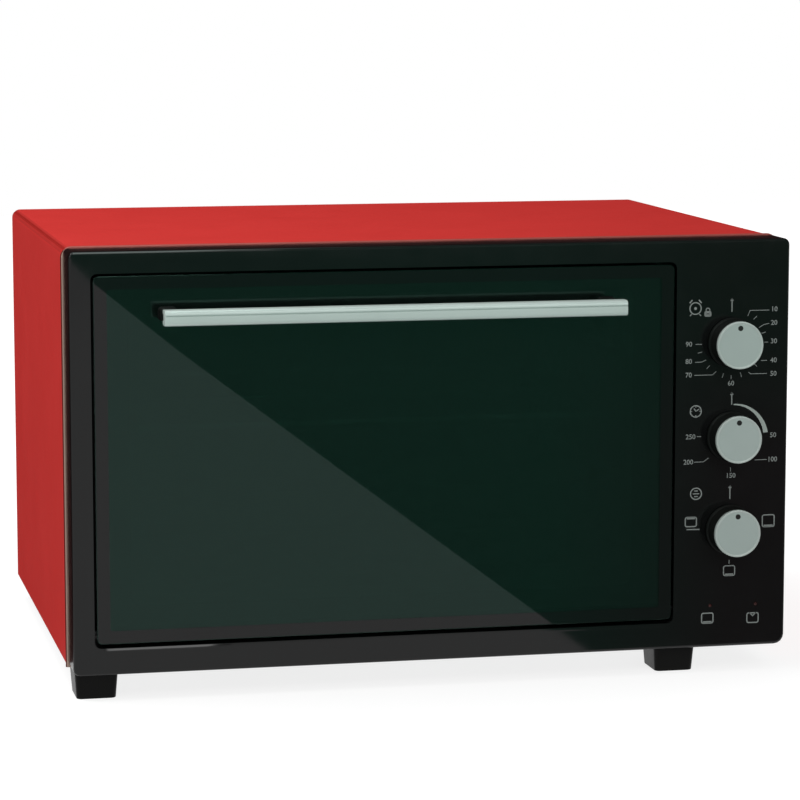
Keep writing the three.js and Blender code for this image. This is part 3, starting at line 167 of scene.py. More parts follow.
class Net:
    """A node tree with short ways to add nodes, links and sums."""

    def __init__(self, tree: bpy.types.NodeTree) -> None:
        """Keeps the tree that the nodes go into."""
        self.tree = tree

    def node(self, kind: str, settings: dict | None = None, **inputs: object) -> bpy.types.Node:
        """Adds a node.

        Args:
            kind: the node's type name in Blender.
            settings: values for the node's own properties.
            **inputs: sockets by name with underscores for spaces, each with a value or a socket to link.

        Returns:
            The new node.
        """
        made = self.tree.nodes.new(kind)
        for name, value in (settings or {}).items():
            setattr(made, name, value)
        for name, value in inputs.items():
            self.feed(made.inputs[name.replace("_", " ")], value)
        return made

    def feed(self, socket: Socket, value: object) -> None:
        """Links a socket to another one, or sets its value.

        Args:
            socket: the input.
            value: a value, or the socket that it comes from.
        """
        if isinstance(value, Socket):
            self.tree.links.new(value, socket)
        else:
            socket.default_value = value

    def filled(self, kind: str, settings: dict, values: dict[int, object], output: int = 0) -> Socket:
        """Adds a node whose sockets have no names of their own.

        Args:
            kind: the node's type name in Blender.
            settings: values for the node's own properties.
            values: a value or a socket to link for each input number.
            output: number of the output that is wanted.

        Returns:
            That output.
        """
        made = self.node(kind, settings)
        for number, value in values.items():
            self.feed(made.inputs[number], value)
        return made.outputs[output]

    def sum(self, operation: str, first: object, second: object = 0.0) -> Socket:
        """The result of a sum of two values or sockets."""
        return self.filled("ShaderNodeMath", {"operation": operation}, {0: first, 1: second})

    def mix(self, share: object, first: object, second: object) -> Socket:
        """A colour between two others."""
        return self.filled("ShaderNodeMix", {"data_type": "RGBA"}, {0: share, 6: first, 7: second}, 2)

    def blend(self, share: object, first: object, second: object) -> Socket:
        """A surface between two others."""
        return self.filled("ShaderNodeMixShader", {}, {0: share, 1: first, 2: second})

    def spread(self, value: object, low: Span, high: Span) -> Socket:
        """A value carried from one range to another, and kept inside it."""
        ends = {"From_Min": low[0], "From_Max": low[1], "To_Min": high[0], "To_Max": high[1]}
        return self.node("ShaderNodeMapRange", Value=value, **ends).outputs["Result"]

    def where(self) -> Socket:
        """The place on the piece, in metres from the piece's origin."""
        return self.node("ShaderNodeTexCoord").outputs["Object"]

    def noise(self, scale: object, detail: float, roughness: float = 0.5) -> Socket:
        """Soft noise over the piece."""
        inputs = {"Vector": self.where(), "Scale": scale, "Detail": detail, "Roughness": roughness}
        return self.node("ShaderNodeTexNoise", **inputs).outputs["Fac"]

    def away(self, across: str, up: str) -> Socket:
        """How far a place is from an axis of the piece.

        Args:
            across: name of one coordinate across the axis.
            up: name of the other.

        Returns:
            The distance in metres.
        """
        place = self.node("ShaderNodeSeparateXYZ", Vector=self.where()).outputs
        squares = [self.sum("MULTIPLY", place[name], place[name]) for name in (across, up)]
        return self.sum("SQRT", self.sum("ADD", *squares))


class Effect:
    """A shader node group with named sockets, built once and placed in each material that uses it."""

    name = ""
    inputs: tuple[tuple[str, str, object], ...] = ()
    outputs: tuple[tuple[str, str], ...] = ()

    def group(self) -> bpy.types.NodeTree:
        """The group, built at its first use.

        Returns:
            The group's tree.
        """
        found = bpy.data.node_groups.get(self.name)
        if found is not None:
            return found
        tree = bpy.data.node_groups.new(self.name, "ShaderNodeTree")
        for name, kind, value in self.inputs:
            tree.interface.new_socket(name, in_out="INPUT", socket_type=kind).default_value = value
        for name, kind in self.outputs:
            tree.interface.new_socket(name, in_out="OUTPUT", socket_type=kind)
        net = Net(tree)
        result = net.node("NodeGroupOutput")
        for name, socket in self.wire(net, net.node("NodeGroupInput").outputs).items():
            net.feed(result.inputs[name], socket)
        return tree

    def wire(self, net: Net, given: Sockets) -> dict[str, Socket]:
        """Builds the inside of the group.

        Args:
            net: the group's tree.
            given: the group's inputs.

        Returns:
            A socket for each output of the group.
        """
        raise NotImplementedError

    def place(self, net: Net, **inputs: object) -> bpy.types.Node:
        """Adds the group to a material, with a value or a socket to link for each input."""
        return net.node("ShaderNodeGroup", {"node_tree": self.group()}, **inputs)


class ToneDrift(Effect):
    """Slow changes of colour and gloss over a surface."""

    name = "tone_drift"
    inputs = (
        ("Colour", "NodeSocketColor", (0.5, 0.5, 0.5, 1.0)),
        ("Amount", "NodeSocketFloat", 0.05),
        ("Patches", "NodeSocketFloat", 12.0),
        ("Roughness", "NodeSocketFloat", 0.4),
        ("Gloss Change", "NodeSocketFloat", 0.05),
    )
    outputs = (("Colour", "NodeSocketColor"), ("Roughness", "NodeSocketFloat"))
    gloss_patches = 4.0

    def wire(self, net: Net, given: Sockets) -> dict[str, Socket]:
        """Lays one noise on the colour's value, and a finer one on the roughness.

        Args:
            net: the group's tree.
            given: the group's inputs.

        Returns:
            The changed colour and roughness.
        """
        broad = net.spread(net.noise(given["Patches"], 3.0, 0.55), NOISE_CORE, SWING)
        value = net.sum("ADD", net.sum("MULTIPLY", broad, given["Amount"]), 1.0)
        toned = net.node("ShaderNodeHueSaturation", Value=value, Color=given["Colour"])
        fine = net.noise(net.sum("MULTIPLY", given["Patches"], self.gloss_patches), 4.0, 0.6)
        gloss = net.sum("MULTIPLY", net.spread(fine, NOISE_CORE, SWING), given["Gloss Change"])
        return {"Colour": toned.outputs["Color"], "Roughness": net.sum("ADD", gloss, given["Roughness"])}


class FineGrain(Effect):
    """A fine even relief: orange peel in paint, or the texture of a mould."""

    name = "fine_grain"
    inputs = (("Grains", "NodeSocketFloat", 900.0), ("Softness", "NodeSocketFloat", 0.5))
    outputs = (("Height", "NodeSocketFloat"),)

    def wire(self, net: Net, given: Sockets) -> dict[str, Socket]:
        """Mixes soft cells with noise.

        Args:
            net: the group's tree.
            given: the group's inputs.

        Returns:
            The relief's height.
        """
        smooth = {"feature": "SMOOTH_F1"}
        cells = net.node("ShaderNodeTexVoronoi", smooth, Vector=net.where(), Scale=given["Grains"])
        soft = net.sum("MULTIPLY", net.noise(given["Grains"], 2.0), given["Softness"])
        rest = net.sum("SUBTRACT", 1.0, given["Softness"])
        return {"Height": net.sum("ADD", soft, net.sum("MULTIPLY", cells.outputs["Distance"], rest))}


class BrushedLines(Effect):
    """Fine parallel lines left by brushing or rolling."""

    name = "brushed_lines"
    inputs = (("Stretch", "NodeSocketVector", (30.0, 2500.0, 2500.0)),)
    outputs = (("Height", "NodeSocketFloat"),)

    def wire(self, net: Net, given: Sockets) -> dict[str, Socket]:
        """Draws noise out along the axis with the lowest scale.

        Args:
            net: the group's tree.
            given: the group's inputs.

        Returns:
            The lines' height.
        """
        places = {0: net.where(), 1: given["Stretch"]}
        drawn = net.filled("ShaderNodeVectorMath", {"operation": "MULTIPLY"}, places)
        noise = net.node("ShaderNodeTexNoise", Vector=drawn, Scale=1.0, Detail=4.0, Roughness=0.7)
        return {"Height": noise.outputs["Fac"]}


class SpunRings(Effect):
    """Fine rings turned about the piece's own Y axis."""

    name = "spun_rings"
    inputs = (("Rings", "NodeSocketFloat", 2600.0),)
    outputs = (("Height", "NodeSocketFloat"),)

    def wire(self, net: Net, given: Sockets) -> dict[str, Socket]:
        """Reads noise along the distance from the axis.

        Args:
            net: the group's tree.
            given: the group's inputs.

        Returns:
            The rings' height.
        """
        place = net.sum("MULTIPLY", net.away("X", "Z"), given["Rings"])
        along_line = {"noise_dimensions": "1D"}
        noise = net.node("ShaderNodeTexNoise", along_line, Scale=1.0, Detail=3.0, W=place)
        return {"Height": noise.outputs["Fac"]}


class Flakes(Effect):
    """The crystal flakes of zinc plating, each with its own tone."""

    name = "zinc_flakes"
    inputs = (("Flakes", "NodeSocketFloat", 160.0),)
    outputs = (("Mask", "NodeSocketFloat"), ("Height", "NodeSocketFloat"))
    bend = 0.004

    def wire(self, net: Net, given: Sockets) -> dict[str, Socket]:
        """Lays cells that noise bends a little.

        Args:
            net: the group's tree.
            given: the group's inputs.

        Returns:
            Each flake's own tone, and the flakes' height.
        """
        where = net.where()
        noise = net.node("ShaderNodeTexNoise", Vector=where, Scale=given["Flakes"], Detail=2.0)
        bent = {0: noise.outputs["Color"], 1: (self.bend, self.bend, self.bend), 2: where}
        place = net.filled("ShaderNodeVectorMath", {"operation": "MULTIPLY_ADD"}, bent)
        cells = net.node("ShaderNodeTexVoronoi", Vector=place, Scale=given["Flakes"])
        tone = net.node("ShaderNodeSeparateColor", Color=cells.outputs["Color"])
        return {"Mask": tone.outputs[0], "Height": cells.outputs["Distance"]}


class Dust(Effect):
    """A light settling of dust on faces that look up."""

    name = "settled_dust"
    inputs = (
        ("Colour", "NodeSocketColor", (0.5, 0.5, 0.5, 1.0)),
        ("Roughness", "NodeSocketFloat", 0.4),
        ("Amount", "NodeSocketFloat", 0.1),
    )
    outputs = (("Colour", "NodeSocketColor"), ("Roughness", "NodeSocketFloat"))
    tone: Linear = (0.42, 0.41, 0.39, 1.0)
    dulling = 0.3

    def wire(self, net: Net, given: Sockets) -> dict[str, Socket]:
        """Lays a noise mask that grows with the normal's upward share.

        Args:
            net: the group's tree.
            given: the group's inputs.

        Returns:
            The dusty colour and roughness.
        """
        normal = net.node("ShaderNodeNewGeometry").outputs["Normal"]
        up = net.spread(net.node("ShaderNodeSeparateXYZ", Vector=normal).outputs["Z"], (0.2, 1), SHARE)
        patches = net.spread(net.noise(60.0, 6.0, 0.7), (0.4, 0.75), SHARE)
        mask = net.sum("MULTIPLY", net.sum("MULTIPLY", patches, up), given["Amount"])
        dull = net.sum("MULTIPLY", mask, self.dulling)
        return {
            "Colour": net.mix(mask, given["Colour"], self.tone),
            "Roughness": net.sum("ADD", given["Roughness"], dull),
        }


class Flecks(Effect):
    """The small pale flecks in baked enamel."""

    name = "enamel_flecks"
    inputs = (("Colour", "NodeSocketColor", (0.02, 0.02, 0.02, 1.0)), ("Flecks", "NodeSocketFloat", 350.0))
    outputs = (("Colour", "NodeSocketColor"),)
    tone: Linear = (0.3, 0.31, 0.32, 1.0)

    def wire(self, net: Net, given: Sockets) -> dict[str, Socket]:
        """Sets dots at the middle of some cells.

        Args:
            net: the group's tree.
            given: the group's inputs.

        Returns:
            The flecked colour.
        """
        cells = net.node("ShaderNodeTexVoronoi", Vector=net.where(), Scale=given["Flecks"]).outputs
        dots = net.spread(cells["Distance"], (0.12, 0.2), (1, 0))
        chosen = net.node("ShaderNodeSeparateColor", Color=cells["Color"]).outputs[0]
        mask = net.sum("MULTIPLY", dots, net.spread(chosen, (0.7, 0.75), SHARE))
        return {"Colour": net.mix(mask, given["Colour"], self.tone)}


# Finishes


class Grain(Enum):
    """How a surface's fine detail is made."""

    PEEL = "paint with orange peel"
    MOULDED = "fine mould texture"
    BRUSHED = "brushed along X"
    DRAWN = "drawn or rolled along Y"
    SPUN = "turned rings"
    ZINC = "zinc flakes"
    ENAMEL = "flecked enamel"
    GLASS = "clear and smooth"
    PLAIN = "smooth with soft changes of tone"


RELIEFS: dict[Grain, tuple[type[Effect], dict]] = {
    Grain.PEEL: (FineGrain, {"Grains": 700.0, "Softness": 0.8}),
    Grain.MOULDED: (FineGrain, {"Grains": 1600.0, "Softness": 0.35}),
    Grain.ENAMEL: (FineGrain, {"Grains": 420.0, "Softness": 0.9}),
    Grain.BRUSHED: (BrushedLines, {"Stretch": (30.0, 2600.0, 2600.0)}),
    Grain.DRAWN: (BrushedLines, {"Stretch": (2200.0, 25.0, 2200.0)}),
    Grain.SPUN: (SpunRings, {}),
    Grain.ZINC: (Flakes, {}),
}


def linear(channel: float) -> float:
    """One sRGB channel, 0 to 255, as a linear value."""
    share = channel / 255
    return share / 12.92 if share <= 0.04045 else ((share + 0.055) / 1.055) ** 2.4


def as_linear(colour: Colour) -> Linear:
    """An sRGB colour, each channel 0 to 255, as linear values with full alpha."""
    return (*(linear(channel) for channel in colour), 1.0)


@dataclass(frozen=True)
class Finish:
    """One finish of the oven: its colour, gloss and fine detail."""

    name: str
    colour: Colour
    roughness: float
    grain: Grain = Grain.PLAIN
    metallic: float = 0.0
    specular: float = 0.5
    specular_tint: Colour = (255, 255, 255)
    relief: float = 0.02
    relief_strength: float = 0.6
    drift: float = 0.04
    gloss_change: float = 0.04
    patches: float = 12.0
    flake_tones: Span = (0.86, 1.1)
    flake_gloss: Span = (-0.06, 0.06)
    dust: float = 0.0
    clearness: float = 0.0
    slot: str | None = None

    def material(self) -> bpy.types.Material:
        """The node material of this finish, built at its first use.

        Returns:
            The material.
        """
        title = f"oven_{self.name}"
        found = bpy.data.materials.get(title)
        if found is not None:
            return found
        made = bpy.data.materials.new(title)
        made.use_nodes = True
        net = Net(made.node_tree)
        shader = made.node_tree.nodes["Principled BSDF"].inputs
        shader["Metallic"].default_value = self.metallic
        shader["Specular IOR Level"].default_value = self.specular
        shader["Specular Tint"].default_value = as_linear(self.specular_tint)
        shader["Transmission Weight"].default_value = self.clearness
        relief = None
        if self.grain in RELIEFS:
            effect, inputs = RELIEFS[self.grain]
            relief = effect().place(net, **inputs)
            bump = {"Height": relief.outputs["Height"], "Distance": self.relief * MM}
            bumped = net.node("ShaderNodeBump", Strength=self.relief_strength, **bump)
            net.feed(shader["Normal"], bumped.outputs["Normal"])
        colour, roughness = self._tones(net, relief)
        net.feed(shader["Base Color"], colour)
        net.feed(shader["Roughness"], roughness)
        return made

    def _tones(self, net: Net, relief: bpy.types.Node | None) -> tuple[object, object]:
        """The colour and the roughness with all that changes them over the surface.

        Args:
            net: the material's tree.
            relief: the group that gives the fine relief, or None where the surface is smooth.

        Returns:
            The colour and the roughness: sockets to link, or plain values where nothing changes them.
        """
        colour, roughness = as_linear(self.colour), self.roughness
        if self.drift or self.gloss_change:
            drift = ToneDrift().place(
                net, Colour=colour, Amount=self.drift, Patches=self.patches,
                Roughness=roughness, Gloss_Change=self.gloss_change,
            )
            colour, roughness = drift.outputs["Colour"], drift.outputs["Roughness"]
        if self.grain is Grain.ENAMEL:
            colour = Flecks().place(net, Colour=colour).outputs["Colour"]
        if self.grain is Grain.ZINC:
            flakes = relief.outputs["Mask"]
            value = net.spread(flakes, SHARE, self.flake_tones)
            colour = net.node("ShaderNodeHueSaturation", Color=colour, Value=value).outputs["Color"]
            roughness = net.sum("ADD", roughness, net.spread(flakes, SHARE, self.flake_gloss))
        if self.dust:
            dust = Dust().place(net, Colour=colour, Roughness=roughness, Amount=self.dust)
            colour, roughness = dust.outputs["Colour"], dust.outputs["Roughness"]
        return colour, roughness


RED = Finish(
    "red_paint", (212, 52, 48), 0.5, Grain.PEEL,
    specular=0.1, relief=0.03, drift=0.012, patches=5.0, slot="red_paint",
)
# Painted shade: darker reds on the bands round each bend's fold line, the darkest round the fold and a paler
# one beside it and down the lower bend
RED_PAINTED_FOLD_SHADE = Finish(
    "red_fold_painted_shade", (166, 30, 24), 0.55, Grain.PEEL, specular=0.1, relief=0.03, drift=0.03, slot="red_paint"
)
RED_PAINTED_FOLD_HALF_SHADE = Finish(
    "red_fold_edge_painted_half_shade", (190, 46, 42), 0.5, Grain.PEEL, specular=0.1, relief=0.03, drift=0.02, slot="red_paint"
)
# Painted shade: a dark red band on the front of the roll just past its crest, down the left side
RED_PAINTED_ROLL_SHADE = Finish(
    "red_roll_painted_shade", (92, 24, 20), 0.55, Grain.PEEL, specular=0.1, relief=0.03, slot="red_paint"
)
# Bare sheet on the front half of the roll, its colour lightened into a painted highlight at the left side;
# over the top and down the right the same edge has a dimmer painted highlight
RAW_EDGE_PAINTED_HIGHLIGHT = Finish("raw_wrap_edge_painted_highlight", (190, 163, 148), 0.5, Grain.DRAWN, metallic=0.2, slot="red_paint")
RAW_TOP_PAINTED_DIM_HIGHLIGHT = Finish("raw_wrap_top_painted_dim_highlight", (160, 70, 62), 0.55, Grain.DRAWN, metallic=0.1, slot="red_paint")
FRAME_BLACK = Finish(
    "black_frame_paint", (13, 14, 14), 0.16, Grain.PEEL,
    specular=0.4, relief=0.004, drift=0.06, slot="black_frame",
)
PAN_BLACK = Finish("black_pan_paint", (18, 21, 20), 0.4, Grain.PEEL, relief=0.02, slot="black_frame")
BORDER = Finish(
    "glass_border_ink", (13, 14, 14), 0.05,
    specular=0.4, drift=0.05, gloss_change=0.01, slot="black_frame",
)
SMOKED = Finish(
    "smoked_glass", (65, 85, 79), 0.02, Grain.GLASS,
    specular=0.25, specular_tint=(190, 240, 225), clearness=0.96, drift=0.0, gloss_change=0.0,
    slot="smoked_glass",
)
CLEAR = Finish(
    "clear_glass", (205, 222, 214), 0.02, Grain.GLASS,
    clearness=0.97, drift=0.0, gloss_change=0.0, slot="clear_glass",
)
SILVER = Finish(
    "satin_silver", (196, 210, 205), 0.38, Grain.BRUSHED,
    metallic=0.2, relief=0.01, drift=0.02, slot="satin_silver",
)
SILVER_SPUN = Finish(
    "spun_silver", (172, 187, 182), 0.36, Grain.SPUN,
    metallic=0.2, relief=0.008, drift=0.02, slot="satin_silver",
)
SILVER_RIM = Finish(
    "rim_silver", (190, 202, 197), 0.3, Grain.SPUN,
    metallic=0.25, relief=0.006, drift=0.01, slot="satin_silver",
)
ZINC = Finish(
    "zinc_sheet", (150, 153, 153), 0.42, Grain.ZINC, metallic=0.85, relief=0.01, dust=0.12, slot="zinc_steel"
)
PIN = Finish("dark_pin_steel", (44, 44, 45), 0.5, Grain.DRAWN, metallic=0.4, relief=0.01, slot="zinc_steel")
SCREW = Finish("zinc_screw", (165, 167, 165), 0.35, Grain.SPUN, metallic=0.9, relief=0.01, slot="zinc_steel")
ENAMEL = Finish("dark_enamel", (30, 31, 34), 0.28, Grain.ENAMEL, relief=0.02, drift=0.08, slot="dark_enamel")
CHROME = Finish("chromed_wire", (200, 203, 205), 0.16, Grain.PLAIN, metallic=1.0, slot="chromed_wire")
ELEMENT = Finish(
    "element_steel", (88, 82, 76), 0.5, Grain.DRAWN,
    metallic=0.7, drift=0.2, patches=30.0, slot="element_steel",
)
FOOT = Finish("foot_plastic", (9, 9, 8), 0.3, Grain.MOULDED, specular=0.12, relief=0.01, slot="black_plastic")
PLASTIC = Finish(
    "black_plastic", (15, 15, 14), 0.5, Grain.MOULDED, specular=0.2, relief=0.02, slot="black_plastic"
)
DOT = Finish("black_mark", (18, 20, 19), 0.5, Grain.MOULDED, relief=0.01, slot="black_plastic")
CERAMIC = Finish(
    "white_ceramic", (226, 220, 206), 0.7, Grain.MOULDED, relief=0.03, drift=0.05, slot="ceramic"
)
SILICONE = Finish("grey_silicone", (44, 45, 46), 0.7, Grain.MOULDED, relief=0.02, slot="silicone")
COPPER = Finish("copper_tube", (190, 112, 72), 0.35, Grain.DRAWN, metallic=1.0, drift=0.12, slot="copper")
LENS = Finish("red_lens", (70, 34, 32), 0.18, Grain.PLAIN, clearness=0.3, slot="red_lens")
SLEEVE = Finish("lead_sleeve", (214, 209, 196), 0.6, Grain.MOULDED, relief=0.04, slot="lead_sleeve")
INK = Finish("dial_ink", (156, 168, 162), 0.55, Grain.MOULDED, relief=0.005, drift=0.03)
SIGN_INK = Finish("sign_ink", (128, 135, 132), 0.55, Grain.MOULDED, relief=0.005, drift=0.03)


def dress_node(node: str, finish: Finish, edge: float) -> None:
    """Gives a CAD node its finish, and softens its edges with modifiers.

    Args:
        node: name of the CAD node.
        finish: what it is covered with.
        edge: width of the softened edge, or 0 to leave the edges as they are.
    """
    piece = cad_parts[node]
    for place in piece.material_slots:
        place.material = finish.material()
    piece.modifiers.new("weld", "WELD").merge_threshold = NODE_WELD
    soften(piece, edge)
    log.info("%s: %s", node, finish.grain.value)


# Meshes


# In metres: points this close are one, and an edge this short is none
NODE_WELD = 1e-6
WELD_WITHIN = 1e-7
TOO_SHORT = 1e-8
# Degrees between two faces above which their edge is sharp
SHARP_ABOVE = 32.0
# Millimetres that stand for a radius of 0
LEAST_RADIUS = 0.02
# Upward share of a rod's direction above which it counts as upright
UPRIGHT = 0.9


def linked(name: str, data: bpy.types.ID) -> Piece:
    """Makes an object and puts it into the scene.

    Args:
        name: the object's name.
        data: its mesh, curve, lamp or camera.

    Returns:
        The new object.
    """
    made = bpy.data.objects.new(name, data)
    bpy.context.scene.collection.objects.link(made)
    return made


def shown_mesh(piece: Piece) -> bpy.types.Mesh:
    """A copy of a piece's mesh as its modifiers or its text show it."""
    bpy.context.view_layer.update()
    return bpy.data.meshes.new_from_object(piece.evaluated_get(bpy.context.evaluated_depsgraph_get()))


def turn_towards(made: Piece, ahead: Vector) -> None:
    """Turns a lamp or the camera to look along a direction."""
    made.rotation_mode = "QUATERNION"
    made.rotation_quaternion = ahead.to_track_quat("-Z", "Y")


def tidy(made: Piece, crease: float) -> None:
    """Welds doubled points, turns the faces outwards and sets which edges look sharp.

    Args:
        made: the mesh object.
        crease: angle in degrees above which an edge stays sharp.
    """
    work = bmesh.new()
    work.from_mesh(made.data)
    bmesh.ops.remove_doubles(work, verts=work.verts, dist=WELD_WITHIN)
    bmesh.ops.dissolve_degenerate(work, edges=work.edges, dist=TOO_SHORT)
    bmesh.ops.recalc_face_normals(work, faces=work.faces)
    work.to_mesh(made.data)
    work.free()
    made.data.polygons.foreach_set("use_smooth", [True] * len(made.data.polygons))
    made.data.set_sharp_from_angle(angle=math.radians(crease))


def soften(piece: Piece, edge: float) -> None:
    """Adds a bevel to the sharp edges, and keeps flat faces flat to the light.

    Args:
        piece: the mesh object.
        edge: the bevel's width, or 0 for none.
    """
    if edge:
        bevel = piece.modifiers.new("soft_edge", "BEVEL")
        bevel.width, bevel.segments = edge * MM, 2
        bevel.limit_method, bevel.angle_limit = "ANGLE", math.radians(SHARP_ABOVE)
    piece.modifiers.new("flat_faces", "WEIGHTED_NORMAL").keep_sharp = False


class Skin:
    """Points in millimetres and the faces between them, which become one piece."""

    def __init__(self) -> None:
        """Starts empty."""
        self.points: list[Point3] = []
        self.faces: list[tuple[int, ...]] = []
        self.tones: list[int] = []

    def ring(self, points: Iterable[Point3]) -> list[int]:
        """Adds points.

        Args:
            points: the points in order.

        Returns:
            Their numbers.
        """
        start = len(self.points)
        self.points.extend(points)
        return list(range(start, len(self.points)))

    def face(self, corners: Sequence[int], tone: int = 0) -> None:
        """Adds one face in a finish given by its number."""
        self.faces.append(tuple(corners))
        self.tones.append(tone)

    def bridge(self, first: Sequence[int], second: Sequence[int], closed: bool = True, tone: int = 0) -> None:
        """Joins two lines of the same count with faces.

        Args:
            first: the numbers of one line's points.
            second: the numbers of the other line's points.
            closed: whether the lines close on themselves.
            tone: number of the faces' finish.
        """
        count = len(first)
        for k in range(count if closed else count - 1):
            after = (k + 1) % count
            self.face((first[k], first[after], second[after], second[k]), tone)

    def loft(
        self, rings: Sequence[Iterable[Point3]], looped: bool = False, tones: Sequence[int] = ()
    ) -> "Skin":
        """Stretches a skin over closed rings of the same count.

        Args:
            rings: the rings in order.
            looped: whether the last ring joins the first. If not, both are filled.
            tones: finish number of each band, 0 where the list is shorter.

        Returns:
            The skin itself.
        """
        numbers = [self.ring(points) for points in rings]
        following = numbers[1:] + numbers[:1] if looped else numbers[1:]
        for band, (first, second) in enumerate(zip(numbers, following)):
            self.bridge(first, second, tone=tones[band] if band < len(tones) else 0)
        if not looped:
            self.face(numbers[0])
            self.face(numbers[-1])
        return self

    def sweep(self, lines: Sequence[Iterable[Point3]]) -> "Skin":
        """Joins open lines that lie round a closed section, and fills both ends.

        Args:
            lines: the lines in order round the section.

        Returns:
            The skin itself.
        """
        numbers = [self.ring(points) for points in lines]
        for first, second in zip(numbers, numbers[1:] + numbers[:1]):
            self.bridge(first, second, closed=False)
        self.face([line[0] for line in numbers])
        self.face([line[-1] for line in numbers])
        return self

    def tube(self, path: Sequence[Point3], radius: float, sides: int, closed: bool = False) -> "Skin":
        """A round rod along a line of points.

        Args:
            path: the middle line.
            radius: radius of the rod.
            sides: how many sides it has.
            closed: whether the line closes on itself.

        Returns:
            The skin itself.
        """
        spots = [Vector(p) for p in path]
        count = len(spots)
        side = None
        rings = []
        for k, spot in enumerate(spots):
            ahead = spots[(k + 1) % count] if closed or k < count - 1 else spot
            behind = spots[k - 1] if closed or k > 0 else spot
            along = (ahead - behind).normalized()
            if side is None:
                side = along.orthogonal() if abs(along.z) >= UPRIGHT else along.cross(Vector((0, 0, 1)))
                side.normalize()
            side = (side - along * side.dot(along)).normalized()
            up = along.cross(side)
            outline = circle(0, 0, 1, sides)
            rings.append([tuple(spot + side * (u * radius) + up * (v * radius)) for u, v in outline])
        return self.loft(rings, looped=closed)

    def turned(
        self,
        profile: Sequence[Point2],
        centre: Point2,
        sides: int,
        tones: Sequence[int] = (),
        lay: Callable[[Iterable[Point2], float], list[Point3]] = at_y,
    ) -> "Skin":
        """Turns a profile about an axis.

        Args:
            profile: pairs of radius and place along the axis. A radius of 0 makes a flat end.
            centre: the axis's two coordinates across itself.
            sides: how many sides.
            tones: finish number of each band.
            lay: at_y for an axis along Y, or at_x for one along X.

        Returns:
            The skin itself.
        """
        rings = [lay(circle(*centre, max(radius, LEAST_RADIUS), sides), place) for radius, place in profile]
        return self.loft(rings, tones=tones)

    def piece(
        self,
        name: str,
        body: str,
        finishes: Finish | Sequence[Finish],
        origin: Point3 = (0.0, 0.0, 0.0),
        crease: float = SHARP_ABOVE,
        stands_for: Sequence[str] = (),
        edge: float = 0.0,
    ) -> None:
        """Makes the mesh object and lets it ride on a body.

        Args:
            name: the piece's name.
            body: the CAD body that carries it.
            finishes: one finish, or one for each tone.
            origin: where the object's own origin lies.
            crease: angle in degrees above which an edge stays sharp.
            stands_for: the CAD nodes that it replaces.
            edge: width of softened edges, or 0.
        """
        given = [finishes] if isinstance(finishes, Finish) else list(finishes)
        mesh = bpy.data.meshes.new(name)
        base = Vector(origin)
        mesh.from_pydata([tuple((Vector(p) - base) * MM) for p in self.points], [], self.faces)
        for finish in given:
            mesh.materials.append(finish.material())
        mesh.polygons.foreach_set("material_index", self.tones)
        made = linked(name, mesh)
        made.location = base * MM
        tidy(made, crease)
        if edge:
            soften(made, edge)
        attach(made, body)
        if stands_for:
            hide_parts(*stands_for)
        log.info("%s: %d faces, %s", name, len(mesh.polygons), given[0].name)


def plate(outline: Sequence[Point2], depth: Span) -> Skin:
    """A flat solid with an XZ outline between two depths."""
    return Skin().loft([at_y(outline, y) for y in depth])


def carve(base: Skin, tools: Sequence[Skin]) -> Skin:
    """Takes solids away from a solid.

    Args:
        base: the solid to start from.
        tools: what to take away, in order.

    Returns:
        What is left, as a new skin.
    """
    made = _solid(base)
    for skin in tools:
        tool = _solid(skin)
        cut = made.modifiers.new("cut", "BOOLEAN")
        cut.operation, cut.solver, cut.object = "DIFFERENCE", "EXACT", tool
        mesh = shown_mesh(made)
        made.modifiers.clear()
        made.data = mesh
        bpy.data.objects.remove(tool)
    result = Skin()
    result.points = [tuple(v.co) for v in made.data.vertices]
    for polygon in made.data.polygons:
        result.face(polygon.vertices)
    bpy.data.objects.remove(made)
    return result


def _solid(skin: Skin) -> Piece:
    """A hidden object in millimetres for a cut.

    Args:
        skin: the solid's skin.

    Returns:
        The object.
    """
    mesh = bpy.data.meshes.new("cut")
    mesh.from_pydata(skin.points, [], skin.faces)
    made = linked("cut", mesh)
    made.hide_render = True
    tidy(made, SHARP_ABOVE)
    return made


# Housing


class WrapTone(IntEnum):
    """The finishes of the red wrap by their numbers: paint, painted shade at the bends and the roll, and the
    bare front edge with a painted highlight.
    """

    PAINT = 0
    BARE_SIDE = 1
    FOLD_EDGE = 2
    FOLD = 3
    BARE_TOP = 4
    SHADE = 5


WRAP_FINISHES = (RED, RAW_EDGE_PAINTED_HIGHLIGHT, RED_PAINTED_FOLD_HALF_SHADE, RED_PAINTED_FOLD_SHADE, RAW_TOP_PAINTED_DIM_HIGHLIGHT, RED_PAINTED_ROLL_SHADE)


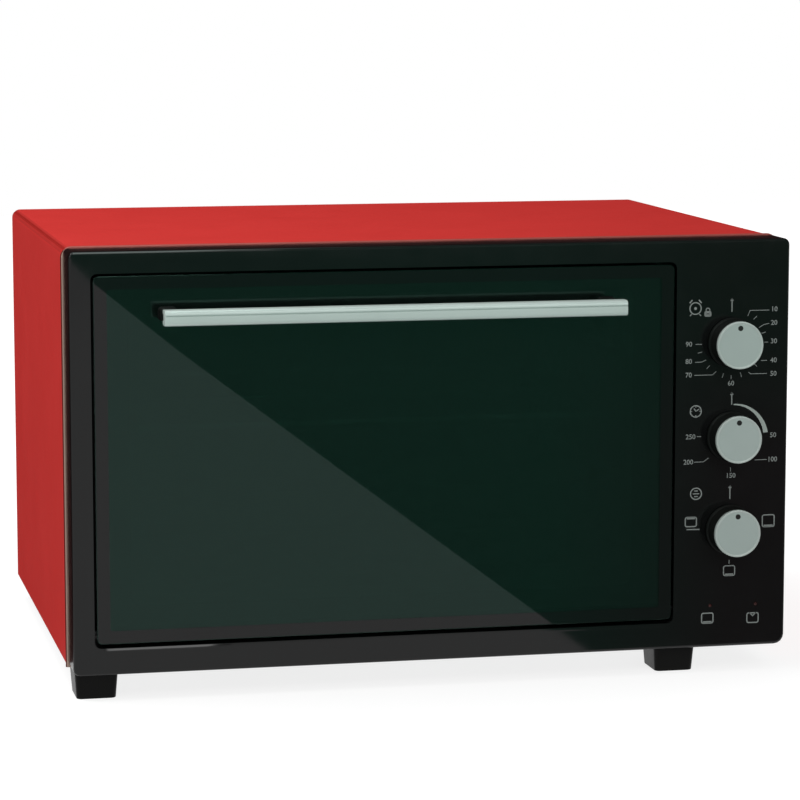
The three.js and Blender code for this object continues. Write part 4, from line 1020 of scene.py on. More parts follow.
@dataclass
class Wrap:
    """The red sheet over the top and down both sides, with a bent hem and a rolled front edge, painted shade
    along its bends and just past the roll's crest, and a bare front edge with a painted highlight.
    """

    sheet: float = 0.6
    bend_radius: float = 7.0
    hem: float = 9.0
    edge_radius: float = 1.2
    roll_width: float = 3.6
    roll_height: float = 1.7
    roll_share_on_top: float = 0.6
    roll_steps: int = 10
    # How many bands past the roll's crest carry painted shade at the left
    painted_shade_bands: int = 3
    fold_angle: float = 42.0
    fold_depth: float = 0.3
    bend_angles: tuple[float, ...] = (0, 9, 18, 26, 32, 38, 42, 46, 52, 58, 66, 74, 82, 90)
    crease: float = 40.0

    def build(self) -> None:
        """Makes the wrap from the CAD node's own box."""
        skin = Skin().sweep([self._arch(depth, inwards) for depth, inwards in self._section()])
        tones = self._tones()
        skin.tones[: len(tones)] = tones
        skin.piece("red_wrap", "housing", WRAP_FINISHES, crease=self.crease, stands_for=("outer_wrap",))

    def _section(self) -> list[Point2]:
        """The sheet's section from the rear edge round the roll and the hem, and back inside.

        Returns:
            Pairs of depth and distance inwards from the wrap's faces.
        """
        front, rear = node_spans("outer_wrap")[1]
        bend, half = self.edge_radius, self.roll_width / 2
        turns = [math.pi * k / self.roll_steps for k in range(self.roll_steps + 1)]
        roll = [(front + half + half * math.cos(a), -self.roll_height * math.sin(a)) for a in turns]
        hem = [(front, self.hem), (front + self.sheet, self.hem)]
        inside = [(front + self.sheet, bend), (front + bend, self.sheet), (rear, self.sheet)]
        return [(rear, 0.0), *roll, *hem, *inside]

    def _arch(self, depth: float, inwards: float) -> list[Point3]:
        """The line up one side, over the top and down the other.

        Args:
            depth: where it lies along Y.
            inwards: how far it lies inside the wrap's faces, below 0 outside them.

        Returns:
            The line's points.
        """
        x, _, z = node_spans("outer_wrap")
        radius = max(self.bend_radius - inwards, 0.0)
        (x0, x1), top = inset(x, inwards), z[1] - inwards * (self.roll_share_on_top if inwards < 0 else 1.0)
        bend = self._bend(radius)
        line = [(x0 + radius - u, top - radius + v) for u, v in reversed(bend)]
        line += [(x1 - radius + u, top - radius + v) for u, v in bend]
        return at_y([(x0, z[0]), *line, (x1, z[0])], depth)

    def _bend(self, radius: float) -> list[Point2]:
        """The bend from the top down to the right side about its own centre, with a shallow fold line.

        Args:
            radius: the bend's radius.

        Returns:
            The bend's points.
        """
        points = []
        for angle in self.bend_angles:
            reach = radius - (self.fold_depth if angle == self.fold_angle else 0.0)
            turn = math.radians(90 - angle)
            points.append((reach * math.cos(turn), reach * math.sin(turn)))
        return points

    def _tones(self) -> list[int]:
        """The finish of each face from the rear edge to the end of the roll.

        Returns:
            Tone numbers, band by band, each from the left side's foot to the right side's.
        """
        # Painted shade on the bends: the paler dark red beside the fold line and down the lower bend, the
        # darkest red round the fold line itself
        paint, painted_half_shade, fold = WrapTone.PAINT, WrapTone.FOLD_EDGE, WrapTone.FOLD
        bend = [paint] * 2 + [painted_half_shade] * 2 + [fold] * 4 + [painted_half_shade] * 3 + [paint] * 2
        painted = [paint, *reversed(bend), paint, *bend, paint]
        beside = 1 + len(bend) // 2
        half = self.roll_steps // 2
        tones = painted * (1 + half)
        for band in range(half + 1):
            # Painted shade on the first bands past the crest at the left, then the bare edge with its painted
            # highlight
            side = WrapTone.SHADE if band < self.painted_shade_bands else WrapTone.BARE_SIDE
            tones += [side] * beside + [WrapTone.BARE_TOP] * (len(painted) - beside)
        return tones


@dataclass
class RearScrews:
    """Pan-head screws with a cross recess that hold the rear panel."""

    head_radius: float = 3.2
    head_height: float = 0.9
    border: float = 8.0
    panel_depth: float = 1.0
    recess_long: float = 1.1
    recess_narrow: float = 0.24
    recess_floor: float = 0.35
    recess_corner: float = 0.1
    dome_shares: tuple[Point2, ...] = ((0.0, 0.0), (1.0, 0.0), (1.0, 0.4), (0.8, 0.85), (0.0, 1.0))
    sides: int = 32

    def build(self) -> None:
        """Places eight screws on the rear panel's face."""
        across, _, up = node_spans("rear_panel")
        x, z = inset(across, self.border), inset(up, self.border)
        face = node_spans("outer_wrap")[1][1] - self.panel_depth
        spots = [(u, v) for u in x for v in (*z, middle(z))] + [(middle(x), v) for v in z]
        for number, (u, v) in enumerate(spots):
            self._head(u, v, face).piece(f"rear_screw_{number}", "housing", SCREW, origin=(u, face, v))

    def _head(self, u: float, v: float, face: float) -> Skin:
        """One domed head with two crossed slots.

        Args:
            u: its place along X.
            v: its place along Z.
            face: depth of the face that it sits on.

        Returns:
            The head.
        """
        r, h = self.head_radius, self.head_height
        dome = [(r * wide, face + h * high) for wide, high in self.dome_shares]
        long, narrow = r * self.recess_long, r * self.recess_narrow
        slots = [
            plate(
                rounded(around(u, wide), around(v, high), self.recess_corner, 2),
                (face + h * self.recess_floor, face + h + 1),
            )
            for wide, high in ((long, narrow), (narrow, long))
        ]
        return carve(Skin().turned(dome, (u, v), self.sides), slots)


@dataclass
class Sill:
    """The raised lip of the front frame under the door, chamfered so that water runs off."""

    foot_gap: float = 3.2
    end_gap: float = 5.0
    height: float = 2.5
    chamfer: float = 1.5
    edge_width: float = 0.2
    reach: float = 0.75
    root: float = 0.1
    lift: float = 0.05
    least_share: float = 0.1
    low_share: float = 0.2
    ramp: float = 4.0
    run_out: Span = (-190.0, -158.0)
    crease: float = 20.0
    soft_edge: float = 0.15

    def build(self) -> None:
        """Lays the lip along the lower edge of the door opening."""
        u0, u1 = inset(node_spans("door_outer_glass")[0], self.end_gap)
        low, (start, end) = self.low_share, self.run_out
        stations = (
            (self.least_share, u0), (1.0, u0 + self.ramp), (1.0, start),
            (low, end), (low, u1 - self.ramp), (self.least_share, u1),
        )
        rings = [at_x(self._outline(share), u) for share, u in stations]
        Skin().loft(rings).piece(
            "frame_sill", "housing", FRAME_BLACK, crease=self.crease, edge=self.soft_edge
        )

    def _outline(self, share: float) -> list[Point2]:
        """The section in YZ.

        Args:
            share: how much of the full reach it has here.

        Returns:
            The section's points.
        """
        face, top = frame_face(), node_spans("door_outer_glass")[2][0] - self.foot_gap
        reach = self.reach * share
        return [
            (face + self.root, top), (face - self.lift, top), (face - reach, top - self.chamfer),
            (face - reach, top - self.chamfer - self.edge_width),
            (face - self.lift, top - self.height), (face + self.root, top - self.height),
        ]


# Door


@dataclass
class Door:
    """The printed border of the smoked outer glass, and the handle."""

    border_width: float = 10.0
    border_gap: float = 0.6
    border_corner: float = 3.6
    window_corner: float = 2.0
    print_thickness: float = 0.03
    groove_width: float = 0.9
    groove_share: float = 0.35
    slot_height: float = 5.0
    slot_depth: float = 4.0
    bar_front_radius: float = 3.0
    bar_rear_radius: float = 1.5
    bar_end_chamfer: float = 0.35
    bar_crease: float = 36.0
    post_corner: float = 3.0
    post_profile: tuple[Point2, ...] = (
        (0.35, 0.0), (0.0, 0.35), (0.0, 2.2), (0.25, 2.8), (0.8, 3.8), (1.15, 5.0), (1.25, 7.0),
    )
    post_tip_gap: float = 0.3
    # Its tip: steps in from its sides, and how far behind the tip
    post_tip: tuple[Point2, ...] = ((1.25, 0.3), (1.5, 0.0))
    post_least_corner: float = 1.0
    post_steps: int = 6
    tongue_inset: float = 2.5
    tongue_play: float = 0.6
    tongue_root: float = 0.5
    tongue_corner: float = 0.3
    tongue_steps: int = 3
    bar_front_steps: int = 8
    bar_rear_steps: int = 5

    def build(self) -> None:
        """Builds the door's fine pieces."""
        self._border()
        self._handle()
        for side in Side:
            self._post(side)

    def _border(self) -> None:
        """Prints the black border round the outer glass."""
        x, y, z = node_spans("door_outer_glass")
        outer = rounded(inset(x, self.border_gap), inset(z, self.border_gap), self.border_corner)
        inner = rounded(inset(x, self.border_width), inset(z, self.border_width), self.window_corner)
        near, far = y[0] - self.print_thickness, y[0]
        rings = [at_y(outer, near), at_y(inner, near), at_y(inner, far), at_y(outer, far)]
        Skin().loft(rings, looped=True).piece("glass_border_print", "door", BORDER)

    def _handle(self) -> None:
        """Makes a bar with rounded front edges, a groove along its front and a slot along its back."""
        start, end = node_spans("handle_bar")[0]
        soft = self.bar_end_chamfer
        stations = ((soft, start), (0, start + soft), (0, end - soft), (soft, end))
        bar = Skin().loft([at_x(self._bar_outline(by), u) for by, u in stations])
        bar.piece("silver_handle", "door", SILVER, crease=self.bar_crease, stands_for=("handle_bar",))

    def _bar_outline(self, by: float) -> list[Point2]:
        """The bar's section in YZ.

        Args:
            by: how far it is moved inwards.

        Returns:
            The section's points.
        """
        _, y, z = node_spans("handle_bar")
        (y0, y1), (z0, z1) = inset(y, by), inset(z, by)
        front, rear = self.bar_front_radius - by, self.bar_rear_radius - by / 2
        slot_low, slot_high = middle(z) - self.slot_height / 2 - by, middle(z) + self.slot_height / 2 + by
        slot_end, g = y[1] - self.slot_depth, self.groove_width
        groove = z[1] - self.groove_share * (z[1] - z[0])
        groove_low, groove_high = groove - g / 2 - by, groove + g / 2 + by
        return [
            *arc(y0 + front, z0 + front, front, 180, 270, self.bar_front_steps),
            *arc(y1 - rear, z0 + rear, rear, 270, 360, self.bar_rear_steps),
            (y1, slot_low), (slot_end, slot_low), (slot_end, slot_high), (y1, slot_high),
            *arc(y1 - rear, z1 - rear, rear, 0, 90, self.bar_rear_steps),
            *arc(y0 + front, z1 - front, front, 90, 180, self.bar_front_steps),
            (y0, groove_high), (y0 + g, groove_high), (y0 + g, groove_low), (y0, groove_low),
        ]

    def _post(self, side: Side) -> None:
        """Makes a moulded post that narrows to the bar, with a tongue in the bar's slot.

        Args:
            side: which end of the bar it carries.
        """
        node = side.of("handle_post")
        x, y, z = node_spans(node)
        tip = node_spans("handle_bar")[1][1] + self.post_tip_gap
        stations = [(by, y[1] - ahead) for by, ahead in self.post_profile]
        stations += [(by, tip + behind) for by, behind in self.post_tip]
        rings = []
        for by, depth in stations:
            corner = max(self.post_corner - by / 2, self.post_least_corner)
            rings.append(at_y(rounded(inset(x, by), inset(z, by), corner, self.post_steps), depth))
        post = Skin().loft(rings)
        high = around(middle(z), self.slot_height - self.tongue_play)
        tongue = rounded(inset(x, self.tongue_inset), high, self.tongue_corner, self.tongue_steps)
        post.loft([at_y(tongue, tip + self.tongue_root), at_y(tongue, y[0])])
        post.piece(side.of("moulded_post"), "door", PLASTIC, stands_for=(node,))


# Controls


@dataclass
class Knob:
    """A black knob with a spun silver face and a round black mark."""

    name: str
    dot_radius: float = 2.1
    dot_offset: float = 13.2
    dot_lift: float = 0.08
    dot_root: float = 0.4
    # Its edge: a step in from its radius, and how far behind its front
    dot_edge: Point2 = (0.15, 0.1)
    dot_sides: int = 40
    # The grip's front edge: steps in from its radius, and how far behind its front
    front_edge: tuple[Point2, ...] = ((1.3, 0.0), (0.7, 0.15), (0.35, 0.5), (0.2, 1.2))
    # The grip's foot: steps out from its radius, and how far off the panel
    foot_flare: tuple[Point2, ...] = ((0.0, 3.9), (0.35, 3.35))
    # The skirt: steps in from its radius, and how far off the panel
    skirt_edge: tuple[Point2, ...] = ((0.25, 3.0), (0.0, 2.7), (0.0, 0.3), (0.3, 0.0))
    face_ring: float = 2.52
    rim: float = 0.9
    rim_slope: float = 0.14
    # The rim's outer edge: steps in from the face's radius, and how far behind the rim's top
    rim_edge: tuple[Point2, ...] = ((0.12, 0.2), (0.0, 0.6))
    rim_strips: int = 6
    hub_radius: float = 3.4
    hub_depth: float = 15.2
    sides: int = 96

    def build(self) -> None:
        """Builds the grip, the face and the mark about the knob's own axis."""
        knob, cap = f"{self.name}_knob", f"{self.name}_knob_cap"
        x, (front, root), z = node_spans(knob)
        across, (near, far), _ = node_spans(cap)
        centre = (middle(x), middle(z))
        origin = (centre[0], root, centre[1])
        radius, skirt = (across[1] - across[0]) / 2, (x[1] - x[0]) / 2
        body, sunk = f"{self.name}_dial", near + self.rim / 2
        grip = Skin().turned(self._grip(radius, skirt, front, root), centre, self.sides)
        grip.piece(f"{self.name}_grip", body, PLASTIC, origin, stands_for=(knob,))
        spun, rim = 0, 1
        silver = (SILVER_SPUN, SILVER_RIM)
        strips = (spun, spun, *[rim] * self.rim_strips, spun)
        face = Skin().turned(self._face(radius, near, far), centre, self.sides, strips)
        face.piece(f"{self.name}_silver_face", body, silver, origin, stands_for=(cap,))
        top, back, r = sunk - self.dot_lift, sunk + self.dot_root, self.dot_radius
        mark = (centre[0], centre[1] + self.dot_offset)
        inward, behind = self.dot_edge
        profile = [(0, top), (r - inward, top), (r, top + behind), (r, back), (0, back)]
        dot = Skin().turned(profile, mark, self.dot_sides)
        dot.piece(f"{self.name}_mark", body, DOT, (mark[0], sunk, mark[1]))

    def _grip(self, radius: float, skirt: float, front: float, root: float) -> list[Point2]:
        """The black body's profile, from the middle of its front to the hub's end behind the panel.

        Args:
            radius: the grip's own radius.
            skirt: radius of the skirt at the panel.
            front: depth of its front.
            root: depth of the panel's side.

        Returns:
            Pairs of radius and depth.
        """
        hub, end = self.hub_radius, root - self.hub_depth
        return [
            (0, front),
            *((radius - inward, front + behind) for inward, behind in self.front_edge),
            *((radius + outward, root - off) for outward, off in self.foot_flare),
            *((skirt - inward, root - off) for inward, off in self.skirt_edge),
            (hub, root), (hub, end), (0, end),
        ]

    def _face(self, radius: float, near: float, far: float) -> list[Point2]:
        """The silver face's profile: a sunk middle inside a raised rim.

        Args:
            radius: the face's radius.
            near: depth of the rim's top.
            far: depth of the face's back.

        Returns:
            Pairs of radius and depth.
        """
        rim, sunk = self.rim, near + self.rim / 2
        return [
            (0, sunk), (self.face_ring, sunk), (radius - 2 * rim, sunk),
            (radius - 1.5 * rim, near + self.rim_slope), (radius - rim, near), (radius - rim / 2, near),
            *((radius - inward, near + behind) for inward, behind in self.rim_edge),
            (radius, far), (0, far),
        ]


@dataclass
class Lamp:
    """A small domed lens in the panel, with its holder behind."""

    side: Side
    panel_depth: float = 0.35
    # The lens's dome: its radius, and how far behind its tip
    dome: tuple[Point2, ...] = ((0.0, 0.0), (0.5, 0.04), (0.9, 0.16), (1.2, 0.4), (1.4, 0.8))
    lens_depth: float = 1.3
    holder_radius: float = 4.6
    # The holder's front: steps in from its radius, and how far behind the panel
    holder_front: tuple[Point2, ...] = ((0.1, 1.35), (0.0, 1.6), (0.0, 3.4), (1.0, 3.7))
    # The holder's rear: steps in from its radius, and how far ahead of its end
    holder_rear: tuple[Point2, ...] = ((1.0, 0.4), (1.4, 0.0))
    sides: int = 40

    def build(self) -> None:
        """Builds the lens and its holder in place of the CAD lamp."""
        node = self.side.of("indicator_lamp")
        x, (near, far), z = node_spans(node)
        centre, face = (middle(x), middle(z)), near + self.panel_depth
        widest, back = self.dome[-1][0], face + self.lens_depth
        lens = [(radius, near + behind) for radius, behind in self.dome]
        dome = Skin().turned([*lens, (widest, back), (0, back)], centre, self.sides)
        dome.piece(self.side.of("lamp_lens"), "housing", LENS, stands_for=(node,))
        r, start = self.holder_radius, face + self.holder_front[0][1]
        holder = [
            (0, start),
            *((r - inward, face + behind) for inward, behind in self.holder_front),
            *((r - inward, far - ahead) for inward, ahead in self.holder_rear),
            (0, far),
        ]
        behind = Skin().turned(holder, centre, self.sides)
        behind.piece(self.side.of("lamp_holder"), "housing", PLASTIC)


@dataclass
class Stroke:
    """A printed line: points relative to a dial's centre, and its width."""

    points: Sequence[Point2]
    width: float = 0.8
    closed: bool = False
    least_mitre: float = 0.5

    def add_to(self, skin: Skin, centre: Point2, near: float, thickness: float) -> None:
        """Adds the line as a thin raised ribbon with mitred corners.

        Args:
            skin: the ink that it joins.
            centre: the dial's centre.
            near: depth of the ink's face.
            thickness: how thick the ink is.
        """
        spots = [Vector((centre[0] + u, centre[1] + v)) for u, v in self.points]
        edges: tuple[list[Point2], list[Point2]] = ([], [])
        for k, spot in enumerate(spots):
            ways = self._ways(spots, k)
            along = sum(ways, Vector((0, 0))).normalized()
            side = Vector((-along.y, along.x))
            mitre = abs(side.dot(Vector((-ways[0].y, ways[0].x))))
            reach = self.width / 2 / max(mitre, self.least_mitre)
            edges[0].append(tuple(spot + side * reach))
            edges[1].append(tuple(spot - side * reach))
        lay_ribbon(skin, edges, near, thickness, self.closed)

    def _ways(self, spots: list[Vector], k: int) -> list[Vector]:
        """The directions in which the line leaves and reaches one of its points.

        Args:
            spots: the line's points.
            k: number of the point.

        Returns:
            One direction at an open end, and two elsewhere.
        """
        ways = []
        if self.closed or k < len(spots) - 1:
            ways.append((spots[(k + 1) % len(spots)] - spots[k]).normalized())
        if self.closed or k > 0:
            ways.append((spots[k] - spots[k - 1]).normalized())
        return ways


def lay_ribbon(
    skin: Skin, edges: Sequence[Sequence[Point2]], near: float, thickness: float, closed: bool = False
) -> None:
    """Adds a flat ribbon of ink between two XZ edges.

    Args:
        skin: the ink that it joins.
        edges: the ribbon's two edges.
        near: depth of its face.
        thickness: how thick it is.
        closed: whether the ribbon closes on itself.
    """
    first, second = edges
    far = near + thickness
    rings = [at_y(first, near), at_y(second, near), at_y(second, far), at_y(first, far)]
    if closed:
        skin.loft(rings, looped=True)
    else:
        skin.sweep(rings)


def tick(angle: float, start: float, end: float, width: float, centre: Point2 = (0.0, 0.0)) -> Stroke:
    """A short line that points away from a centre, its angle clockwise from the top."""
    u, v = math.sin(math.radians(angle)), math.cos(math.radians(angle))
    return Stroke([(centre[0] + r * u, centre[1] + r * v) for r in (start, end)], width)


@dataclass
class Print:
    """A group of printed marks round one centre on the panel."""

    name: str
    centre: Point2
    strokes: list[Stroke] = field(default_factory=list)
    numbers: tuple[tuple[str, float, float], ...] = ()
    number_height: float = 3.9
    number_weight: float = 0.012
    thickness: float = 0.03
    crease: float = 60.0

    def build(self) -> None:
        """Lays the marks on the panel's face as one thin piece of ink."""
        near = frame_face() - self.thickness
        ink = Skin()
        for stroke in self.strokes:
            stroke.add_to(ink, self.centre, near, self.thickness)
        for words, u, v in self.numbers:
            self._number(ink, words, (self.centre[0] + u, near, self.centre[1] + v))
        ink.piece(self.name, "housing", SIGN_INK, crease=self.crease)

    def _number(self, ink: Skin, words: str, place: Point3) -> None:
        """Adds a plain number, centred on its place.

        Args:
            ink: the ink that it joins.
            words: the number.
            place: its middle.
        """
        curve = bpy.data.curves.new("number", "FONT")
        curve.body, curve.size, curve.resolution_u = words, 1.0, 3
        curve.align_x, curve.align_y, curve.offset = "CENTER", "CENTER", self.number_weight
        letters = linked("number", curve)
        mesh = shown_mesh(letters)
        heights = [p.co.y for p in mesh.vertices]
        scale = self.number_height / (max(heights) - min(heights))
        lift = middle((min(heights), max(heights)))
        x, y, z = place
        numbers = ink.ring([(x + p.co.x * scale, y, z + (p.co.y - lift) * scale) for p in mesh.vertices])
        for polygon in mesh.polygons:
            ink.face([numbers[k] for k in polygon.vertices])
        bpy.data.objects.remove(letters)


class Heavy(Enum):
    """Which side of an oven sign is drawn thick."""

    NONE = 0
    TOP = 1
    BOTTOM = -1


LINE = 0.9
THIN_LINE = 0.8
LEADER = 0.5
HEAD_LINE = 0.7
HEAVY_LINE = 1.4
# The heavy side: how far its middle lies inside the sign's edge, and how far its ends do
HEAVY_INSET = 1.3
HEAVY_ENDS = 1.6
SIGN_CORNER = 1.4
SIGN_CORNER_STEPS = 4
RING_SIDES = 28


def oven_sign(u: float, v: float, wide: float, high: float, heavy: Heavy = Heavy.NONE) -> list[Stroke]:
    """A rounded square outline, with its heavy side drawn thick.

    Args:
        u: place of its middle along X from the dial's centre.
        v: place of its middle along Z.
        wide: its width.
        high: its height.
        heavy: its thick side.

    Returns:
        The strokes.
    """
    outline = rounded(around(u, wide - LINE), around(v, high - LINE), SIGN_CORNER, SIGN_CORNER_STEPS)
    strokes = [Stroke(outline, LINE, True)]
    if heavy is not Heavy.NONE:
        place = v + (high / 2 - HEAVY_INSET) * heavy.value
        ends = inset(around(u, wide), HEAVY_ENDS)
        strokes.append(Stroke([(end, place) for end in ends], HEAVY_LINE))
    return strokes


def arrow(u: float, low: float, high: float) -> list[Stroke]:
    """A thin upright bar with a small head at its top."""
    head = [(u - 1.1, high - 1.9), (u, high - 0.3), (u + 1.1, high - 1.9)]
    return [Stroke([(u, low), (u, high)], LINE), Stroke(head, HEAD_LINE)]


def ring_sign(u: float, v: float, radius: float) -> Stroke:
    """A ring drawn as a closed stroke."""
    return Stroke(circle(u, v, radius - LINE / 2, RING_SIDES), LINE, True)


def bell_clock(u: float, v: float) -> list[Stroke]:
    """An alarm clock: a ring with a hub, two bells and two feet.

    Args:
        u: place of its middle along X from the dial's centre.
        v: place of its middle along Z.

    Returns:
        The strokes.
    """
    strokes = [ring_sign(u, v, 5.0), Stroke(circle(u, v, 0.6, 12), 1.1, True)]
    for way in (-1, 1):
        strokes.append(Stroke([(u + way * 4.8, v + 4.2), (u + way * 2.6, v + 6.6)], 1.0))
        strokes.append(Stroke([(u + way * 3.2, v - 4.4), (u + way * 4.4, v - 5.8)], THIN_LINE))
    return strokes


def lock_sign(u: float, v: float) -> list[Stroke]:
    """A shut padlock with a filled body.

    Args:
        u: place of its middle along X from the dial's centre.
        v: place of its middle along Z.

    Returns:
        The strokes.
    """
    left = [(u - 1.5, v + 0.8), (u - 1.5, v + 2.2), (u - 0.7, v + 3.2)]
    right = [(2 * u - across, up) for across, up in reversed(left)]
    body = rounded(around(u, 3.7), around(v - 1.2, 2.5), 0.3, 3)
    return [Stroke(body, 1.9, True), Stroke(left + right, 0.7)]


@dataclass
class Panel:
    """The printed dials and signs of the control column, and its lamps."""

    column: float = 233.5
    timer_height: float = 260.0
    thermostat_height: float = 186.7
    function_height: float = 113.4
    half_minutes: tuple[float, ...] = (45, 75, 133, 163, 195, 225, 254)
    band_angles: Span = (5.0, 86.0)
    band_inner: Span = (24.3, 26.7)
    band_outer: Span = (25.2, 30.5)
    band_steps: int = 24

    def build(self) -> None:
        """Builds the three dials, the lamp signs and the lamps."""
        self._timer()
        self._thermostat()
        self._band()
        self._function()
        lamps = [
            *oven_sign(-16.9, 43.3, 10.2, 8.8, Heavy.BOTTOM),
            *oven_sign(20.2, 42.1, 10.2, 8.6),
            Stroke([(17.6, 46.2), (20.2, 43.6), (22.8, 46.2)]),
        ]
        Print("lamp_signs_print", (self.column, 0.0), lamps).build()
        for side in Side:
            Lamp(side).build()

    def _timer(self) -> None:
        """Prints ten to ninety minutes clockwise, half ticks between, a bell clock and a stay-on lock."""
        leaders = [
            [(30.1, 24.5), (14.5, 24.5), (12.7, 20.2)], [(30.1, 14.0), (25.8, 13.3), (22.1, 11.0)],
            [(29.5, -0.5), (26.5, -0.5)], [(28.9, -14.8), (23.9, -14.8)],
            [(28.9, -25.0), (15.8, -25.0), (13.9, -23.6)], [(-0.2, -28.8), (-0.2, -25.6)],
            [(-30.0, -25.0), (-15.2, -25.0), (-12.2, -22.2)],
            [(-29.5, -14.8), (-24.4, -14.8), (-20.6, -13.2)], [(-29.3, -0.9), (-24.1, -0.9)],
        ]
        strokes = arrow(-0.2, 23.8, 34.2) + [Stroke(line, LEADER) for line in leaders]
        strokes += [tick(angle, 24.8, 28.4, LEADER) for angle in self.half_minutes]
        strokes += bell_clock(-29.6, 27.0) + lock_sign(-19.6, 23.8)
        numbers = (
            ("10", 34.2, 25.3), ("20", 34.2, 14.7), ("30", 34.2, 0.3), ("40", 34.2, -14.6),
            ("50", 34.2, -25.1), ("60", -0.2, -31.8), ("70", -34.6, -24.6), ("80", -34.6, -14.0),
            ("90", -34.6, -0.6),
        )
        Print("timer_dial_print", (self.column, self.timer_height), strokes, numbers).build()

    def _thermostat(self) -> None:
        """Prints the numbers up to 250 and a clock sign."""
        leaders = [
            [(29.9, -19.4), (20.0, -19.4)], [(0.4, -27.9), (0.4, -24.5)],
            [(-29.3, -19.6), (-21.8, -19.6), (-17.5, -16.6)], [(-27.4, 0.4), (-23.9, 0.4)],
        ]
        clock = (-28.4, 20.2)
        strokes = arrow(0.6, 24.6, 34.2) + [Stroke(line, LEADER) for line in leaders]
        strokes += [ring_sign(*clock, 4.9), Stroke([clock, (-25.9, 21.9)]), Stroke([clock, (-29.8, 22.4)])]
        strokes += [tick(angle, 2.9, 4.0, 0.6, clock) for angle in (0, 90, 180, 270)]
        numbers = (
            ("50", 34.7, -0.1), ("100", 34.4, -19.2), ("150", 0.6, -31.0),
            ("200", -34.0, -19.4), ("250", -32.4, 0.4),
        )
        Print("thermostat_dial_print", (self.column, self.thermostat_height), strokes, numbers).build()

    def _band(self) -> None:
        """Prints the band that widens from the arrow towards the first temperature."""
        start, end = self.band_angles
        edges = ([], [])
        for k in range(self.band_steps + 1):
            share = k / self.band_steps
            angle = math.radians(start + (end - start) * share)
            for edge, (low, high) in zip(edges, (self.band_inner, self.band_outer)):
                reach = low + (high - low) * share
                u, v = reach * math.sin(angle), reach * math.cos(angle)
                edge.append((self.column + u, self.thermostat_height + v))
        band = Skin()
        lay_ribbon(band, edges, frame_face() - Print.thickness, Print.thickness)
        band.piece("thermostat_band_print", "housing", INK, crease=Print.crease)

    def _function(self) -> None:
        """Prints signs for lower heat, upper heat and both, and a round sign."""
        strokes = arrow(0.2, 23.8, 34.4)
        strokes += oven_sign(31.9, 5.4, 10.6, 10.2, Heavy.BOTTOM)
        strokes += oven_sign(0.4, -33.0, 10.0, 8.6, Heavy.BOTTOM) + [Stroke([(0.3, -27.4), (0.3, -24.4)])]
        strokes += oven_sign(-31.3, 6.7, 10.0, 8.2, Heavy.TOP) + [Stroke([(-34.6, 0.8), (-24.2, 0.6)], LINE)]
        strokes.append(ring_sign(-27.4, 28.8, 4.9))
        bars = ((-30.0, -24.8, 28.8), (-28.9, -25.9, 31.0), (-28.9, -25.9, 26.6))
        strokes += [Stroke([(start, v), (end, v)]) for start, end, v in bars]
        Print("function_dial_print", (self.column, self.function_height), strokes).build()


# Cavity


class Level(Enum):
    """The two heating elements by their places."""

    LOWER = "lower"
    UPPER = "upper"


